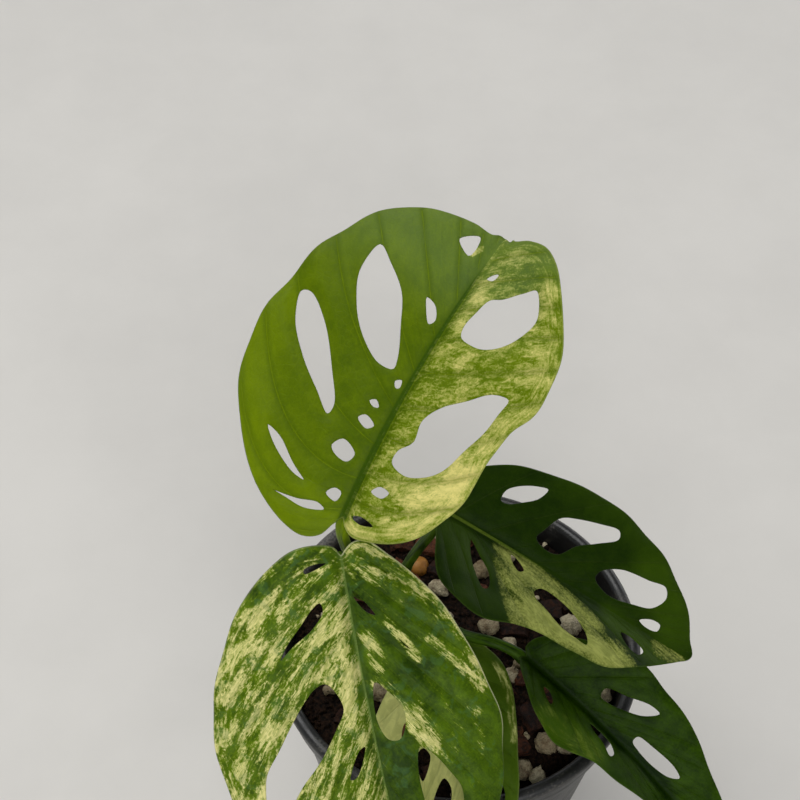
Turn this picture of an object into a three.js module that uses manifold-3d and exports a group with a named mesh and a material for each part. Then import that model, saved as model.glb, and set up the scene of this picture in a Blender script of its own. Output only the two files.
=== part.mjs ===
// A young variegated monstera with five holed leaves, in a thin round nursery pot.
// Millimetres, +Z up. The origin is the centre of the pot's flat underside.

import * as THREE from 'three';
import { mergeVertices } from 'three/addons/utils/BufferGeometryUtils.js';
import Module from 'manifold-3d';

const wasm = await Module();
wasm.setup();

// Pot
const POT_HEIGHT = 88;
const POT_RIM_RADIUS = 50;
const POT_BASE_RADIUS = 36;
const POT_WALL = 1.6;
const POT_FLOOR = 2.4;
const POT_LIP_WIDTH = 3.6;
const POT_BAND_HEIGHT = 11;
const POT_SEGMENTS = 48;
const DRAIN_HOLES = 8;
const DRAIN_HOLE_RADIUS = 4;
const DRAIN_CIRCLE_RADIUS = 25;

// Soil
const SOIL_TOP = 81;
const SOIL_CLEARANCE = 0.35;
const SOIL_SEED = 4177;
const BARK_COUNT = 46;
const PERLITE_COUNT = 22;

// Stem, petioles and blades
const STEM_RADIUS = 3.8;
const STEM_HOLE_CLEARANCE = 0.4;
const JOINT_CLEARANCE = 0.35;
const PETIOLE_RADIUS = 1.4;
const PETIOLE_FOOT_RADIUS = 2.5;
const KNEE_RADIUS = 1.8;
const TUBE_SIDES = 6;
const BLADE_THICKNESS = 0.8;
const EDGE_SPACING = 2.9;
const FACE_SPACING = 6;

// The stem's centre line, from its foot in the soil to its tip, with a ring at each leaf joint
const STEM_LINE = [[-16.5, 11, 62], [-16.5, 10, 78], [-16, 8, 91], [-15.5, 5.5, 103], [-15.8, 4, 112]];
const STEM_RINGS = [0.45, 0.54, 0.66, 0.8, 0.93];

// Each leaf is laid out flat, in millimetres: y runs up the midrib from the petiole and x across it.
// The posed blade starts at base, heads along the compass angle heading (from +X towards +Y) and
// climbs at rise. Both turn evenly along the midrib, by turn and bend, up to its tip. Each half is
// lifted by its fold angle and arches by its curl, in degrees for every 30 mm across.
// petiole lists the stalk's centre line from the stem to just below the blade.
const LEAVES = {
  leaf_top: {
    length: 72.5, base: [-28.4, -17.8, 167.6],
    heading: 61.8, turn: -19.6, rise: 33.1, bend: 3.9, roll: -4,
    foldLeft: 6, foldRight: 30, curlLeft: -6, curlRight: -8,
    tipCurl: { start: 72, radius: 2.4, halfWidth: 3 },
    petiole: [[-15.8, 4.4, 108], [-17.6, -1, 121], [-22.5, -9.5, 136], [-26.5, -14.8, 148],
      [-28, -16.6, 156.4], [-28.5, -17.4, 163]],
    outline: [[0, 0.5], [-1.5, -1.5], [-3.5, -5], [-7, -6.5], [-12, -5.5], [-19.5, -1.5], [-25.5, 3.5],
      [-31.5, 10.5], [-37, 19], [-39, 27], [-39.5, 34], [-38, 41], [-36.5, 49.5], [-33.5, 55],
      [-28.5, 62.5], [-21, 67.5], [-14.5, 70], [-8, 71.5], [-2.5, 72], [-1, 75], [0.5, 78], [1.8, 75],
      [3, 73.5], [8, 75.5], [14, 76.5], [20.5, 74.5], [26.5, 70], [31.5, 64], [35.5, 56.5], [37, 49],
      [36, 42], [33, 36], [31, 29], [30.5, 21.5], [27.5, 11.5], [23.5, 5.5], [17.5, 0.5], [10, -2],
      [4.5, -2.5], [1.5, -1]],
    holes: [
      [[-9, 67], [-5, 70], [-4, 67.5], [-4.5, 65], [-7, 65.5]],
      [[3, 63], [4.5, 65], [6, 65.5], [5.5, 63.5]],
      [[8, 59.5], [11.5, 61.5], [15.5, 65], [19.5, 67.5], [23.5, 63], [24, 60], [22, 54.5], [15.5, 49.5],
        [11, 48.5], [6.5, 49], [5.5, 51.5], [6.5, 55.5]],
      [[-24, 56.5], [-19, 54.5], [-13, 50.5], [-9, 44.5], [-5.5, 38], [-5, 35], [-9, 34.5], [-15.5, 38],
        [-21, 43.5], [-25, 50]],
      [[-7.5, 52.5], [-4.5, 52], [-2.5, 49], [-3.5, 47.5], [-6, 50]],
      [[-34.5, 39.5], [-32, 40.5], [-25, 36.5], [-17.5, 28.5], [-13, 22], [-13.5, 19.5], [-18.5, 23],
        [-25.5, 28], [-32, 34]],
      [[-25, 12], [-21, 11], [-15.5, 7], [-11.5, 4.5], [-15, 5], [-22, 9]],
      [[-17.5, 0], [-11.5, 0.5], [-6.5, 1.5], [-4.5, 0.5], [-9, -1], [-14, -0.5]],
      [[-6, 4], [-4.5, 6], [-2.5, 5.5], [-3, 3]],
      [[-9.5, 14], [-7.5, 16.5], [-3.5, 14.5], [-4.5, 12], [-8, 12.5]],
      [[-7, 22], [-5.5, 23.5], [-2.5, 22], [-4, 20.5]],
      [[-6.5, 26.5], [-5, 27.5], [-3.5, 26], [-5, 25.5]],
      [[-3.5, 33], [-2, 34], [-1.5, 32], [-2.5, 31.5]],
      [[6.5, 16.5], [6.5, 19.5], [9.5, 23], [9, 28], [12.5, 33], [19, 38], [24.5, 42], [28.5, 42.5],
        [28, 38], [25.5, 30], [22.5, 22.5], [17.5, 17], [12, 15]],
      [[4.5, 8.5], [6.5, 10.5], [10, 10], [8.5, 8]],
      [[2, 1.5], [5, 2.5], [9.5, 1.5], [5.5, 0.5]],
    ],
  },
  leaf_front: {
    length: 105, base: [-28.7, -22.9, 160.8],
    heading: -79.1, turn: 11.7, rise: -31.1, bend: -22.3, roll: 0,
    foldLeft: 10, foldRight: 10, curlLeft: -24, curlRight: -30,
    petiole: [[-16, 6.5, 98], [-22, -3.5, 113], [-26.2, -15, 134], [-28.8, -21.6, 150],
      [-29.2, -23.3, 157.3]],
    outline: [[0, 0], [1.5, -2], [5.5, -3], [11, -2.5], [16.5, 0.5], [21.5, 4.5], [26.5, 10.5], [31, 19],
      [34, 26.5], [35.5, 36], [34.5, 46], [31.5, 57], [26, 67], [20.5, 75], [14, 83.5], [7, 93],
      [2.5, 99.5], [0.8, 103.5], [0, 106], [-1.2, 103], [-3, 98.5], [-7.5, 92], [-14.5, 82], [-20.5, 73],
      [-25.5, 62], [-28.5, 52], [-29.5, 43], [-28, 35], [-25, 25], [-21, 15], [-15.5, 7], [-10.5, 1.5],
      [-6, -2.5], [-3, -2.5], [-1, -1]],
    holes: [
      [[3.5, 1.2], [6, 2.3], [9, 2.9], [9, 1.8], [6, 0.9]],
      [[6.5, 9.5], [6, 11.5], [9, 15], [14, 18], [17.5, 20.5], [16, 18], [11.5, 13.5], [8.5, 10.5]],
      [[8.5, 27], [6.5, 29.5], [5.5, 33.5], [8, 37.5], [12.5, 43], [18, 48], [22.5, 53.5], [26.5, 59],
        [28, 56], [27, 50], [25.5, 44], [21.5, 39], [17.5, 34], [13.5, 29.5], [11, 27.5]],
      [[-1.2, 8], [-3, 10], [-5.5, 14.5], [-3.5, 13.5], [-1.2, 9.7]],
      [[-9.3, 20], [-10.8, 21.8], [-12, 23.7], [-10.4, 22.4]],
      [[-2.5, 29], [-5, 31.5], [-7.5, 35.5], [-7.5, 40], [-5.5, 43], [-3, 42.5], [-1.4, 39], [-1.3, 33]],
      [[2.5, 42.5], [3.5, 45.5], [6, 49], [7.5, 49], [6.5, 46.5], [4, 43]],
      [[-9.5, 45.5], [-12, 47.5], [-15, 52.5], [-17, 57.5], [-16, 64], [-13.5, 70], [-11, 71.5],
        [-9, 68], [-8, 60], [-8, 50]],
    ],
  },
  leaf_right: {
    length: 74, base: [-3.6, 6.4, 137],
    heading: -22.1, turn: 2.8, rise: -21.5, bend: -9.7, roll: 0,
    foldLeft: 22, foldRight: 22, curlLeft: -14, curlRight: -14,
    petiole: [[-15.8, 7, 95], [-14, 8.3, 108], [-11, 7, 119], [-7.8, 5.7, 128], [-5.2, 5.8, 134.4]],
    outline: [[0, 0], [-1, -1.5], [-3.5, -3.3], [-8, -3], [-13.5, 1], [-19, 8.5], [-22, 16.5],
      [-24, 25.5], [-25, 36], [-23.5, 46], [-20.5, 55], [-16, 62.5], [-11, 68.5], [-5, 72], [-1.5, 74.5],
      [3, 70.5], [9, 64], [14.5, 57.5], [19.5, 50], [21.5, 40], [21, 33], [23.5, 25], [26.5, 17],
      [26, 10], [23, 4.5], [18, 1.5], [12.5, 0], [6, -1.5], [2.5, -1.5]],
    holes: [
      [[-9.5, 10.5], [-12.5, 10.5], [-15, 12.5], [-18, 17], [-19, 20.5], [-15.5, 19.5], [-12, 16],
        [-9.5, 12.5]],
      [[-6, 23], [-9, 24], [-14, 26.5], [-16.5, 31], [-18.5, 37], [-19.5, 42], [-17.5, 43], [-13, 38],
        [-9.5, 33.5], [-5, 30], [-4.5, 26]],
      [[-5, 41.5], [-7.5, 42], [-11, 47], [-12.5, 55], [-13.5, 60], [-11, 61.5], [-6.5, 59], [-4.5, 54],
        [-3, 46.5]],
      [[-2, 57], [-4, 60], [-4, 63], [-2, 63], [-1.2, 59.5]],
      [[5, 8], [9, 11.5], [13, 15], [17.5, 16], [18.5, 14.5], [14.5, 11], [9, 8.5]],
      [[1.5, 19], [3, 22], [5, 23.5], [6.5, 22], [4, 19.5]],
      [[10.5, 27], [7.5, 29], [7.5, 34], [9.5, 39], [14, 43], [17.5, 43.5], [16.5, 38], [14, 31.5],
        [12.5, 28]],
      [[5.5, 52.5], [5, 56], [7, 60], [9.5, 58.5], [9, 55]],
    ],
  },
  leaf_low_right: {
    length: 81, base: [16.9, -16.3, 105],
    heading: -37.3, turn: -3.8, rise: -15.4, bend: -25.6, roll: 0,
    foldLeft: 34, foldRight: 34, curlLeft: -18, curlRight: -18,
    petiole: [[-16.2, 8.6, 88], [-10.5, 2.5, 95], [-5, -5.5, 103.6], [1.5, -12, 108.4],
      [8, -14.3, 109], [13.5, -15.4, 106.6]],
    outline: [[0, 0], [-2, -1.5], [-5, -1], [-8.5, 2], [-13, 8.5], [-17, 17], [-18.5, 23.5], [-17.5, 31],
      [-17, 37], [-15, 45], [-12, 52], [-9.5, 60], [-6, 69], [-3, 76], [-0.5, 81.5], [2.5, 74], [6, 64],
      [8, 55], [10.5, 44], [13, 35], [14.5, 28], [17.5, 22], [19, 17], [17, 12], [12.5, 6.5], [7.5, 2],
      [3.5, -0.5], [1.5, -0.8]],
    holes: [
      [[-5, 20.5], [-7.5, 20], [-10, 25.5], [-12.5, 31], [-12.5, 34], [-9, 31.5], [-6.5, 27], [-5, 23]],
      [[-2.5, 34], [-4.5, 34], [-5.5, 39], [-6, 46], [-5, 49], [-3, 47], [-1.8, 42], [-1.8, 37]],
      [[3.5, 22.5], [3, 25], [3.5, 30], [6, 32], [8, 31], [6, 28], [5, 24.5]],
      [[5.5, 8], [5, 9.5], [7.5, 12], [9.5, 12], [8, 9.5]],
    ],
  },
  leaf_low_front: {
    length: 68, base: [-5.6, -14.3, 102.7],
    heading: -78.8, turn: -5.9, rise: -2.2, bend: -24.6, roll: 0,
    foldLeft: 10, foldRight: 10, curlLeft: -14, curlRight: -14,
    petiole: [[-16.3, 9, 84], [-16.8, 0, 89.2], [-13, -6.8, 96.6], [-8, -11.5, 101.6]],
    outline: [[0, 0], [1, -2.5], [4, -3.8], [8, -1], [13, 6], [17.5, 12.5], [21.5, 20], [24.5, 30.5],
      [24, 40.5], [20.5, 49.5], [15, 56.5], [8, 62.5], [2, 66.5], [-0.5, 68.5], [-3, 62], [-7, 54],
      [-11, 45.5], [-13.5, 37], [-14.5, 30], [-16, 20], [-16.5, 13], [-15.5, 6], [-12.5, 1],
      [-8.5, -3], [-4, -3.5], [-1, -2]],
    holes: [
      [[8.5, 24.5], [7, 26.5], [8, 30], [10, 33], [11, 29], [10.5, 26]],
      [[4.5, 32.5], [3, 35], [4, 39.5], [7, 42.5], [8.5, 40], [7, 35.5]],
      [[-9.5, 36], [-10, 38.5], [-9, 41], [-8, 39], [-8.5, 37]],
      [[12, 17.5], [11.5, 20], [13.5, 21.5], [13, 19]],
      [[-3.5, 13], [-6, 15.5], [-10, 20], [-9, 21.5], [-5, 17.5]],
    ],
  },
};

// Colours, roughness
const MATERIALS = {
  pot: [0x141413, 0.55],
  soil: [0x3a2418, 0.95],
  stem: [0x4f6b25, 0.6],
  leaf_top: [0x7c9a35, 0.45],
  leaf_front: [0x8d9a4a, 0.4],
  leaf_right: [0x2f4a17, 0.35],
  leaf_low_right: [0x355a1b, 0.35],
  leaf_low_front: [0x5b7330, 0.4],
};

// Solids and meshes

function solidFrom(geometry) {
  const bare = geometry.clone();
  bare.deleteAttribute('normal');
  bare.deleteAttribute('uv');
  const merged = mergeVertices(bare, 1e-4);
  const vertProperties = new Float32Array(merged.attributes.position.array);
  const triVerts = new Uint32Array(merged.index.array);
  return new wasm.Manifold(new wasm.Mesh({ numProp: 3, vertProperties, triVerts }));
}

function geometryFrom(solid) {
  const mesh = solid.getMesh();
  const geometry = new THREE.BufferGeometry();
  geometry.setAttribute('position', new THREE.BufferAttribute(mesh.vertProperties, 3));
  geometry.setIndex(new THREE.BufferAttribute(mesh.triVerts, 1));
  return geometry;
}

function geometryOf(points, faces) {
  const geometry = new THREE.BufferGeometry();
  const places = points.flatMap((p) => [p.x, p.y, p.z]);
  geometry.setAttribute('position', new THREE.Float32BufferAttribute(places, 3));
  geometry.setIndex(faces.flat());
  return geometry;
}

function largestBody(solid) {
  return solid.decompose().reduce((a, b) => (b.volume() > a.volume() ? b : a));
}

function makeMesh(name, solid) {
  const [color, roughness] = MATERIALS[name];
  const material = new THREE.MeshStandardMaterial({ color, roughness, metalness: 0 });
  const mesh = new THREE.Mesh(geometryFrom(solid), material);
  mesh.name = name;
  return mesh;
}

const vector = (p) => new THREE.Vector3(...p);
const radians = THREE.MathUtils.degToRad;

// A closed tube along a smooth line, with a radius that changes along it
function taperedTube(line, radiusAt, steps, sides) {
  const curve = new THREE.CatmullRomCurve3(line, false, 'centripetal');
  const frames = curve.computeFrenetFrames(steps, false);
  const points = [];
  const faces = [];
  for (let i = 0; i <= steps; i++) {
    const centre = curve.getPointAt(i / steps);
    for (let k = 0; k < sides; k++) {
      const angle = (2 * Math.PI * k) / sides;
      const out = frames.normals[i].clone().multiplyScalar(Math.cos(angle));
      out.addScaledVector(frames.binormals[i], Math.sin(angle));
      points.push(centre.clone().addScaledVector(out, radiusAt(i / steps)));
    }
  }
  for (let i = 0; i < steps; i++) {
    for (let k = 0; k < sides; k++) {
      const a = i * sides + k;
      const b = i * sides + ((k + 1) % sides);
      faces.push([a, b, b + sides], [a, b + sides, a + sides]);
    }
  }
  const last = steps * sides;
  for (let k = 1; k < sides - 1; k++) {
    faces.push([0, k + 1, k], [last, last + k, last + k + 1]);
  }
  return solidFrom(geometryOf(points, faces));
}

// Flat layout: a rounded outline and holes, split into triangles

function roundedLoop(corners, spacing) {
  const flat = corners.map(([x, y]) => new THREE.Vector3(x, y, 0));
  const curve = new THREE.CatmullRomCurve3(flat, true, 'centripetal');
  const count = Math.max(5, Math.round(curve.getLength() / spacing));
  return curve.getSpacedPoints(count).slice(0, count).map((p) => [p.x, p.y]);
}

function isInside(loop, x, y) {
  let inside = false;
  for (let i = 0, j = loop.length - 1; i < loop.length; j = i++) {
    const [ax, ay] = loop[i];
    const [bx, by] = loop[j];
    if (ay > y !== by > y && x < ((bx - ax) * (y - ay)) / (by - ay) + ax) inside = !inside;
  }
  return inside;
}

// True where point d lies inside the circle through a, b and c, taken anticlockwise
function inCircle(a, b, c, d) {
  const [p, q, r] = [a, b, c].map(([x, y]) => new THREE.Vector3(x - d[0], y - d[1], 0));
  for (const corner of [p, q, r]) corner.z = corner.lengthSq();
  return p.dot(q.cross(r)) > 1e-9;
}

function isAnticlockwise(a, b, c) {
  return (b[0] - a[0]) * (c[1] - a[1]) - (b[1] - a[1]) * (c[0] - a[0]) > 0;
}

// Delaunay triangles of a set of points, built up point by point inside one large triangle
function delaunay(points) {
  const reach = 1000;
  const all = [...points, [-reach, -reach], [reach, -reach], [0, 2 * reach]];
  const n = points.length;
  let triangles = [[n, n + 1, n + 2]];
  for (let i = 0; i < n; i++) {
    const opened = triangles.filter(([a, b, c]) => inCircle(all[a], all[b], all[c], all[i]));
    const rim = new Map();
    for (const [a, b, c] of opened) {
      for (const [p, q] of [[a, b], [b, c], [c, a]]) {
        if (!rim.delete(`${q},${p}`)) rim.set(`${p},${q}`, [p, q]);
      }
    }
    triangles = triangles.filter((t) => !opened.includes(t));
    for (const [p, q] of rim.values()) {
      if (isAnticlockwise(all[p], all[q], all[i])) triangles.push([p, q, i]);
    }
  }
  return triangles.filter((t) => t.every((k) => k < n));
}

// Every loop edge and midrib edge has to be kept, so a lost one is halved and the split is made again
function splitBlade(outline, holes, length) {
  const loops = [roundedLoop(outline, EDGE_SPACING)];
  for (const corners of holes) loops.push(roundedLoop(corners, EDGE_SPACING * 0.8));
  const midrib = [];
  for (let y = 4; y < length - 3; y += EDGE_SPACING * 1.3) midrib.push([0, y]);
  const onBlade = (x, y) => isInside(loops[0], x, y) && !loops.slice(1).some((hole) => isInside(hole, x, y));
  const fixed = [...loops, midrib].flat();
  const clear = (x, y, gap) => fixed.every(([px, py]) => Math.hypot(px - x, py - y) > gap);
  const filling = [];
  const rowStep = FACE_SPACING * 0.866;
  for (let row = -2; row * rowStep < length + 6; row++) {
    for (let column = -9; column <= 9; column++) {
      const x = (column + (row % 2 ? 0.5 : 0)) * FACE_SPACING + 0.013 * row;
      const y = row * rowStep + 0.017 * column;
      if (onBlade(x, y) && clear(x, y, FACE_SPACING * 0.55)) filling.push([x, y]);
    }
  }
  for (let round = 0; round < 8; round++) {
    const points = [...loops.flat(), ...midrib, ...filling];
    const triangles = delaunay(points);
    const edges = new Set(triangles.flatMap(([a, b, c]) => [`${a},${b}`, `${b},${c}`, `${c},${a}`]));
    let start = 0;
    let lost = 0;
    const halved = [...loops.map((loop) => [loop, true]), [midrib, false]].map(([line, closed]) => {
      const result = [];
      line.forEach((p, i) => {
        result.push(p);
        const j = (i + 1) % line.length;
        const kept = edges.has(`${start + i},${start + j}`) || edges.has(`${start + j},${start + i}`);
        if (kept || (j === 0 && !closed)) return;
        result.push([(p[0] + line[j][0]) / 2, (p[1] + line[j][1]) / 2]);
        lost++;
      });
      start += line.length;
      return result;
    });
    if (!lost) {
      const middle = (t, axis) => t.reduce((sum, k) => sum + points[k][axis] / 3, 0);
      return { points, triangles: triangles.filter((t) => onBlade(middle(t, 0), middle(t, 1))) };
    }
    halved.slice(0, -1).forEach((loop, i) => loops[i] = loop);
    midrib.splice(0, midrib.length, ...halved.at(-1));
  }
  throw new Error('a blade edge could not be kept');
}

// Posed surface

// Heading, rise and roll of the midrib at distance y, and the directions along, across and out
function midribFrame(leaf, y) {
  const share = y / leaf.length;
  const heading = radians(leaf.heading + leaf.turn * share);
  const rise = radians(leaf.rise + leaf.bend * share);
  const roll = radians(leaf.roll);
  const along = new THREE.Vector3().setFromSphericalCoords(1, Math.PI / 2 - rise, heading);
  along.set(along.z, along.x, along.y);
  const level = new THREE.Vector3(Math.sin(heading), -Math.cos(heading), 0);
  const up = level.clone().cross(along);
  const across = level.clone().multiplyScalar(Math.cos(roll)).addScaledVector(up, Math.sin(roll));
  const out = up.clone().multiplyScalar(Math.cos(roll)).addScaledVector(level, -Math.sin(roll));
  return { along, across, out };
}

// The midrib's place at distance y, by Simpson's rule on its direction
function midribPoint(leaf, y) {
  const steps = 12;
  const place = vector(leaf.base);
  for (let i = 0; i <= steps; i++) {
    const weight = i === 0 || i === steps ? 1 : i % 2 ? 4 : 2;
    place.addScaledVector(midribFrame(leaf, (y * i) / steps).along, (weight * y) / steps / 3);
  }
  return place;
}

// Across the blade each half is an arc that leaves the midrib at its fold angle
function bladePoint(leaf, x, y) {
  const { along, across, out } = midribFrame(leaf, y);
  const right = x >= 0;
  const fold = radians(right ? leaf.foldRight : leaf.foldLeft);
  const curl = radians(right ? leaf.curlRight : leaf.curlLeft) / 30;
  const reach = Math.abs(x);
  const side = (Math.sin(fold + curl * reach) - Math.sin(fold)) / curl;
  const lift = (Math.cos(fold) - Math.cos(fold + curl * reach)) / curl;
  const place = midribPoint(leaf, y);
  place.addScaledVector(across, right ? side : -side).addScaledVector(out, lift);
  const tip = leaf.tipCurl;
  if (tip && y > tip.start) {
    const angle = (y - tip.start) / tip.radius;
    const share = 1 - THREE.MathUtils.smoothstep(reach, tip.halfWidth, 2 * tip.halfWidth);
    place.addScaledVector(along, share * (tip.radius * Math.sin(angle) - (y - tip.start)));
    place.addScaledVector(out, -share * tip.radius * (1 - Math.cos(angle)));
  }
  return place;
}

function bladeNormal(leaf, x, y) {
  const step = 0.4;
  const across = bladePoint(leaf, x + step, y).sub(bladePoint(leaf, x - step, y));
  const along = bladePoint(leaf, x, y + step).sub(bladePoint(leaf, x, y - step));
  return across.cross(along).normalize();
}

// One blade: the same triangles on both faces, and walls round its outline and its holes
function makeBlade(leaf) {
  const { points, triangles } = splitBlade(leaf.outline, leaf.holes, leaf.length);
  const count = points.length;
  const skins = [0.5, -0.5].map((side) => points.map(([x, y]) =>
    bladePoint(leaf, x, y).addScaledVector(bladeNormal(leaf, x, y), side * BLADE_THICKNESS)));
  const faces = triangles.flatMap(([a, b, c]) => [[a, b, c], [c + count, b + count, a + count]]);
  const directed = new Set(triangles.flatMap(([a, b, c]) => [`${a},${b}`, `${b},${c}`, `${c},${a}`]));
  for (const edge of directed) {
    const [a, b] = edge.split(',').map(Number);
    if (!directed.has(`${b},${a}`)) faces.push([b, a, a + count], [b, a + count, b + count]);
  }
  return solidFrom(geometryOf(skins.flat(), faces));
}

// The petiole swells at the stem and at the knee under the blade, then runs on as a thin midrib
function makePetiole(leaf) {
  const ribReach = 0.5 * leaf.length;
  const rib = [0, 0.06, 0.3, 0.65, 1].map((share) => {
    const y = Math.max(0.6, share * ribReach);
    return midribPoint(leaf, y).addScaledVector(midribFrame(leaf, y).out, -0.35);
  });
  const line = [...leaf.petiole.map(vector), ...rib];
  const curve = new THREE.CatmullRomCurve3(line, false, 'centripetal');
  const knee = 1 - ribReach / curve.getLength();
  const radiusAt = (u) => {
    if (u > knee) return THREE.MathUtils.lerp(KNEE_RADIUS * 0.7, 0.5, (u - knee) / (1 - knee));
    const foot = Math.max(0, 1 - u / (0.4 * knee));
    const swell = Math.max(0, (u - 0.85 * knee) / (0.15 * knee));
    const stalk = PETIOLE_RADIUS + (PETIOLE_FOOT_RADIUS - PETIOLE_RADIUS) * foot;
    return stalk + (KNEE_RADIUS - PETIOLE_RADIUS) * swell;
  };
  return taperedTube(line, radiusAt, Math.round(curve.getLength() / 5), TUBE_SIDES);
}

// Stem, with a slight ring at each joint and a blunt tip
function makeStem() {
  const radiusAt = (u) => {
    const ring = STEM_RINGS.reduce((most, at) => Math.max(most, 1 - Math.abs(u - at) / 0.04), 0);
    const blunt = Math.min(1, Math.sqrt(Math.max(0.06, (1 - u) / 0.08)));
    return STEM_RADIUS * blunt * (1 + 0.1 * ring);
  };
  return taperedTube(STEM_LINE.map(vector), radiusAt, 26, 10);
}

// The room that the stem needs, with a clearance all round and past both its ends
function makeStemRoom(clearance) {
  const line = STEM_LINE.map(vector);
  line[0].z -= clearance;
  line.at(-1).z += clearance;
  return taperedTube(line, () => STEM_RADIUS * 1.1 + clearance, 26, 10);
}

function makeLeaf(name) {
  const whole = makeBlade(LEAVES[name]).add(makePetiole(LEAVES[name]));
  return largestBody(whole.subtract(makeStemRoom(JOINT_CLEARANCE)));
}

// Pot

const lipInner = POT_RIM_RADIUS - POT_LIP_WIDTH;
const bandBottom = POT_HEIGHT - POT_BAND_HEIGHT;
const wallOuterAt = (z) => THREE.MathUtils.mapLinear(z, 0, POT_HEIGHT, POT_BASE_RADIUS, lipInner + POT_WALL);

function makePot() {
  const lip = POT_LIP_WIDTH / 2;
  const profile = [
    [0, 0], [POT_BASE_RADIUS - 1, 0], [POT_BASE_RADIUS, 1], [wallOuterAt(bandBottom), bandBottom],
    [POT_RIM_RADIUS - 1.6, bandBottom + 0.8], [POT_RIM_RADIUS - 1.1, POT_HEIGHT - 3.4],
    [POT_RIM_RADIUS, POT_HEIGHT - 2.6], [POT_RIM_RADIUS, POT_HEIGHT - 1.2],
    [POT_RIM_RADIUS - 0.4 * lip, POT_HEIGHT - 0.3], [POT_RIM_RADIUS - lip, POT_HEIGHT],
    [lipInner + 0.4, POT_HEIGHT - 0.4], [lipInner, POT_HEIGHT - 1.4],
    [wallOuterAt(POT_FLOOR) - POT_WALL, POT_FLOOR], [0, POT_FLOOR],
  ];
  const shell = new THREE.LatheGeometry(profile.map(([r, z]) => new THREE.Vector2(r, z)), POT_SEGMENTS);
  shell.rotateX(Math.PI / 2);
  let pot = solidFrom(shell);
  for (let k = 0; k < DRAIN_HOLES; k++) {
    const angle = (2 * Math.PI * (k + 0.5)) / DRAIN_HOLES;
    const drill = new THREE.CylinderGeometry(DRAIN_HOLE_RADIUS, DRAIN_HOLE_RADIUS, 4 * POT_FLOOR, 12);
    drill.rotateX(Math.PI / 2);
    drill.translate(DRAIN_CIRCLE_RADIUS * Math.cos(angle), DRAIN_CIRCLE_RADIUS * Math.sin(angle), 0);
    pot = pot.subtract(solidFrom(drill));
  }
  return pot;
}

// Soil

function makeRandom(seed) {
  let state = seed;
  return () => {
    state = (state * 1664525 + 1013904223) % 4294967296;
    return state / 4294967296;
  };
}

function soilHeight(x, y) {
  return SOIL_TOP + 0.8 * Math.sin(0.21 * x + 1) * Math.cos(0.17 * y) + 0.5 * Math.sin(0.4 * y);
}

// Lumps seen between the leaves: place, half size and kind
const PLACED_LUMPS = [
  [-10, 27.5, 3.2, 'pebble'], [8, 26, 2.9, 'perlite'], [-4.5, 19.5, 2.8, 'perlite'], [9.5, 7, 3, 'perlite'],
  [32.5, 7.5, 3.2, 'perlite'], [38.5, -13.5, 3.2, 'perlite'], [23, -28.5, 3.2, 'perlite'],
  [28.5, -29.5, 2.8, 'perlite'], [16.5, -35.5, 3, 'perlite'], [20.5, -37.5, 2.6, 'perlite'],
  [15, -8, 2.6, 'perlite'], [-21, -14, 2.7, 'perlite'], [26.5, 13, 4.2, 'bark'], [24.5, -14, 3.6, 'bark'],
  [19.5, -21, 3.8, 'bark'], [-6.5, 34, 4, 'bark'], [-14.5, 35, 3.4, 'bark'],
];

function makeLump(kind, size, random) {
  const lump = kind === 'bark'
    ? new THREE.BoxGeometry(2.1 * size, 1.25 * size, 0.8 * size)
    : new THREE.IcosahedronGeometry(size, 0);
  const stretch = kind === 'bark' ? 0.15 : 0.3;
  lump.scale(1 + stretch * (random() - 0.5), 1 + stretch * (random() - 0.5), 0.85);
  const tilt = kind === 'bark' ? 0.7 : Math.PI;
  lump.rotateX(tilt * (random() - 0.5));
  lump.rotateY(tilt * (random() - 0.5));
  lump.rotateZ(2 * Math.PI * random());
  return lump;
}

function makeSoil() {
  const random = makeRandom(SOIL_SEED);
  const wallInnerAt = (z) => wallOuterAt(z) - POT_WALL - SOIL_CLEARANCE;
  const bottom = POT_FLOOR + SOIL_CLEARANCE;
  const rim = wallInnerAt(SOIL_TOP) - 0.4;
  const profile = [[0, bottom], [wallInnerAt(bottom), bottom], [rim, SOIL_TOP - 1.4], [0.86 * rim, SOIL_TOP],
    [0.62 * rim, SOIL_TOP], [0.36 * rim, SOIL_TOP], [0, SOIL_TOP]];
  const bed = new THREE.LatheGeometry(profile.map(([r, z]) => new THREE.Vector2(r, z)), POT_SEGMENTS);
  bed.rotateX(Math.PI / 2);
  const place = bed.attributes.position;
  for (let i = 0; i < place.count; i++) {
    const [x, y, z] = [place.getX(i), place.getY(i), place.getZ(i)];
    if (z > SOIL_TOP - 0.1) place.setZ(i, soilHeight(x, y));
  }
  const lumps = [...PLACED_LUMPS];
  const addLumps = (kind, count, least, most) => {
    for (let tries = 0, added = 0; added < count && tries < 4000; tries++) {
      const radius = 38.5 * Math.sqrt(random());
      const angle = 2 * Math.PI * random();
      const [x, y] = [radius * Math.cos(angle), radius * Math.sin(angle)];
      const size = least + (most - least) * random();
      const clear = lumps.every(([px, py, ps]) => Math.hypot(px - x, py - y) > 0.8 * (ps + size));
      if (!clear) continue;
      lumps.push([x, y, size, kind]);
      added++;
    }
  };
  addLumps('bark', BARK_COUNT, 2.6, 4.2);
  addLumps('perlite', PERLITE_COUNT, 1.6, 2.6);
  let soil = solidFrom(bed);
  for (const [x, y, size, kind] of lumps) {
    const lump = makeLump(kind, size, random);
    lump.translate(x, y, soilHeight(x, y) + (kind === 'bark' ? -0.05 : 0.1) * size);
    soil = soil.add(solidFrom(lump));
  }
  return largestBody(soil.subtract(makeStemRoom(STEM_HOLE_CLEARANCE)));
}

const plant = new THREE.Group();
plant.add(makeMesh('pot', makePot()));
plant.add(makeMesh('soil', makeSoil()));
plant.add(makeMesh('stem', makeStem()));
for (const name of Object.keys(LEAVES)) plant.add(makeMesh(name, makeLeaf(name)));

export default plant;
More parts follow.
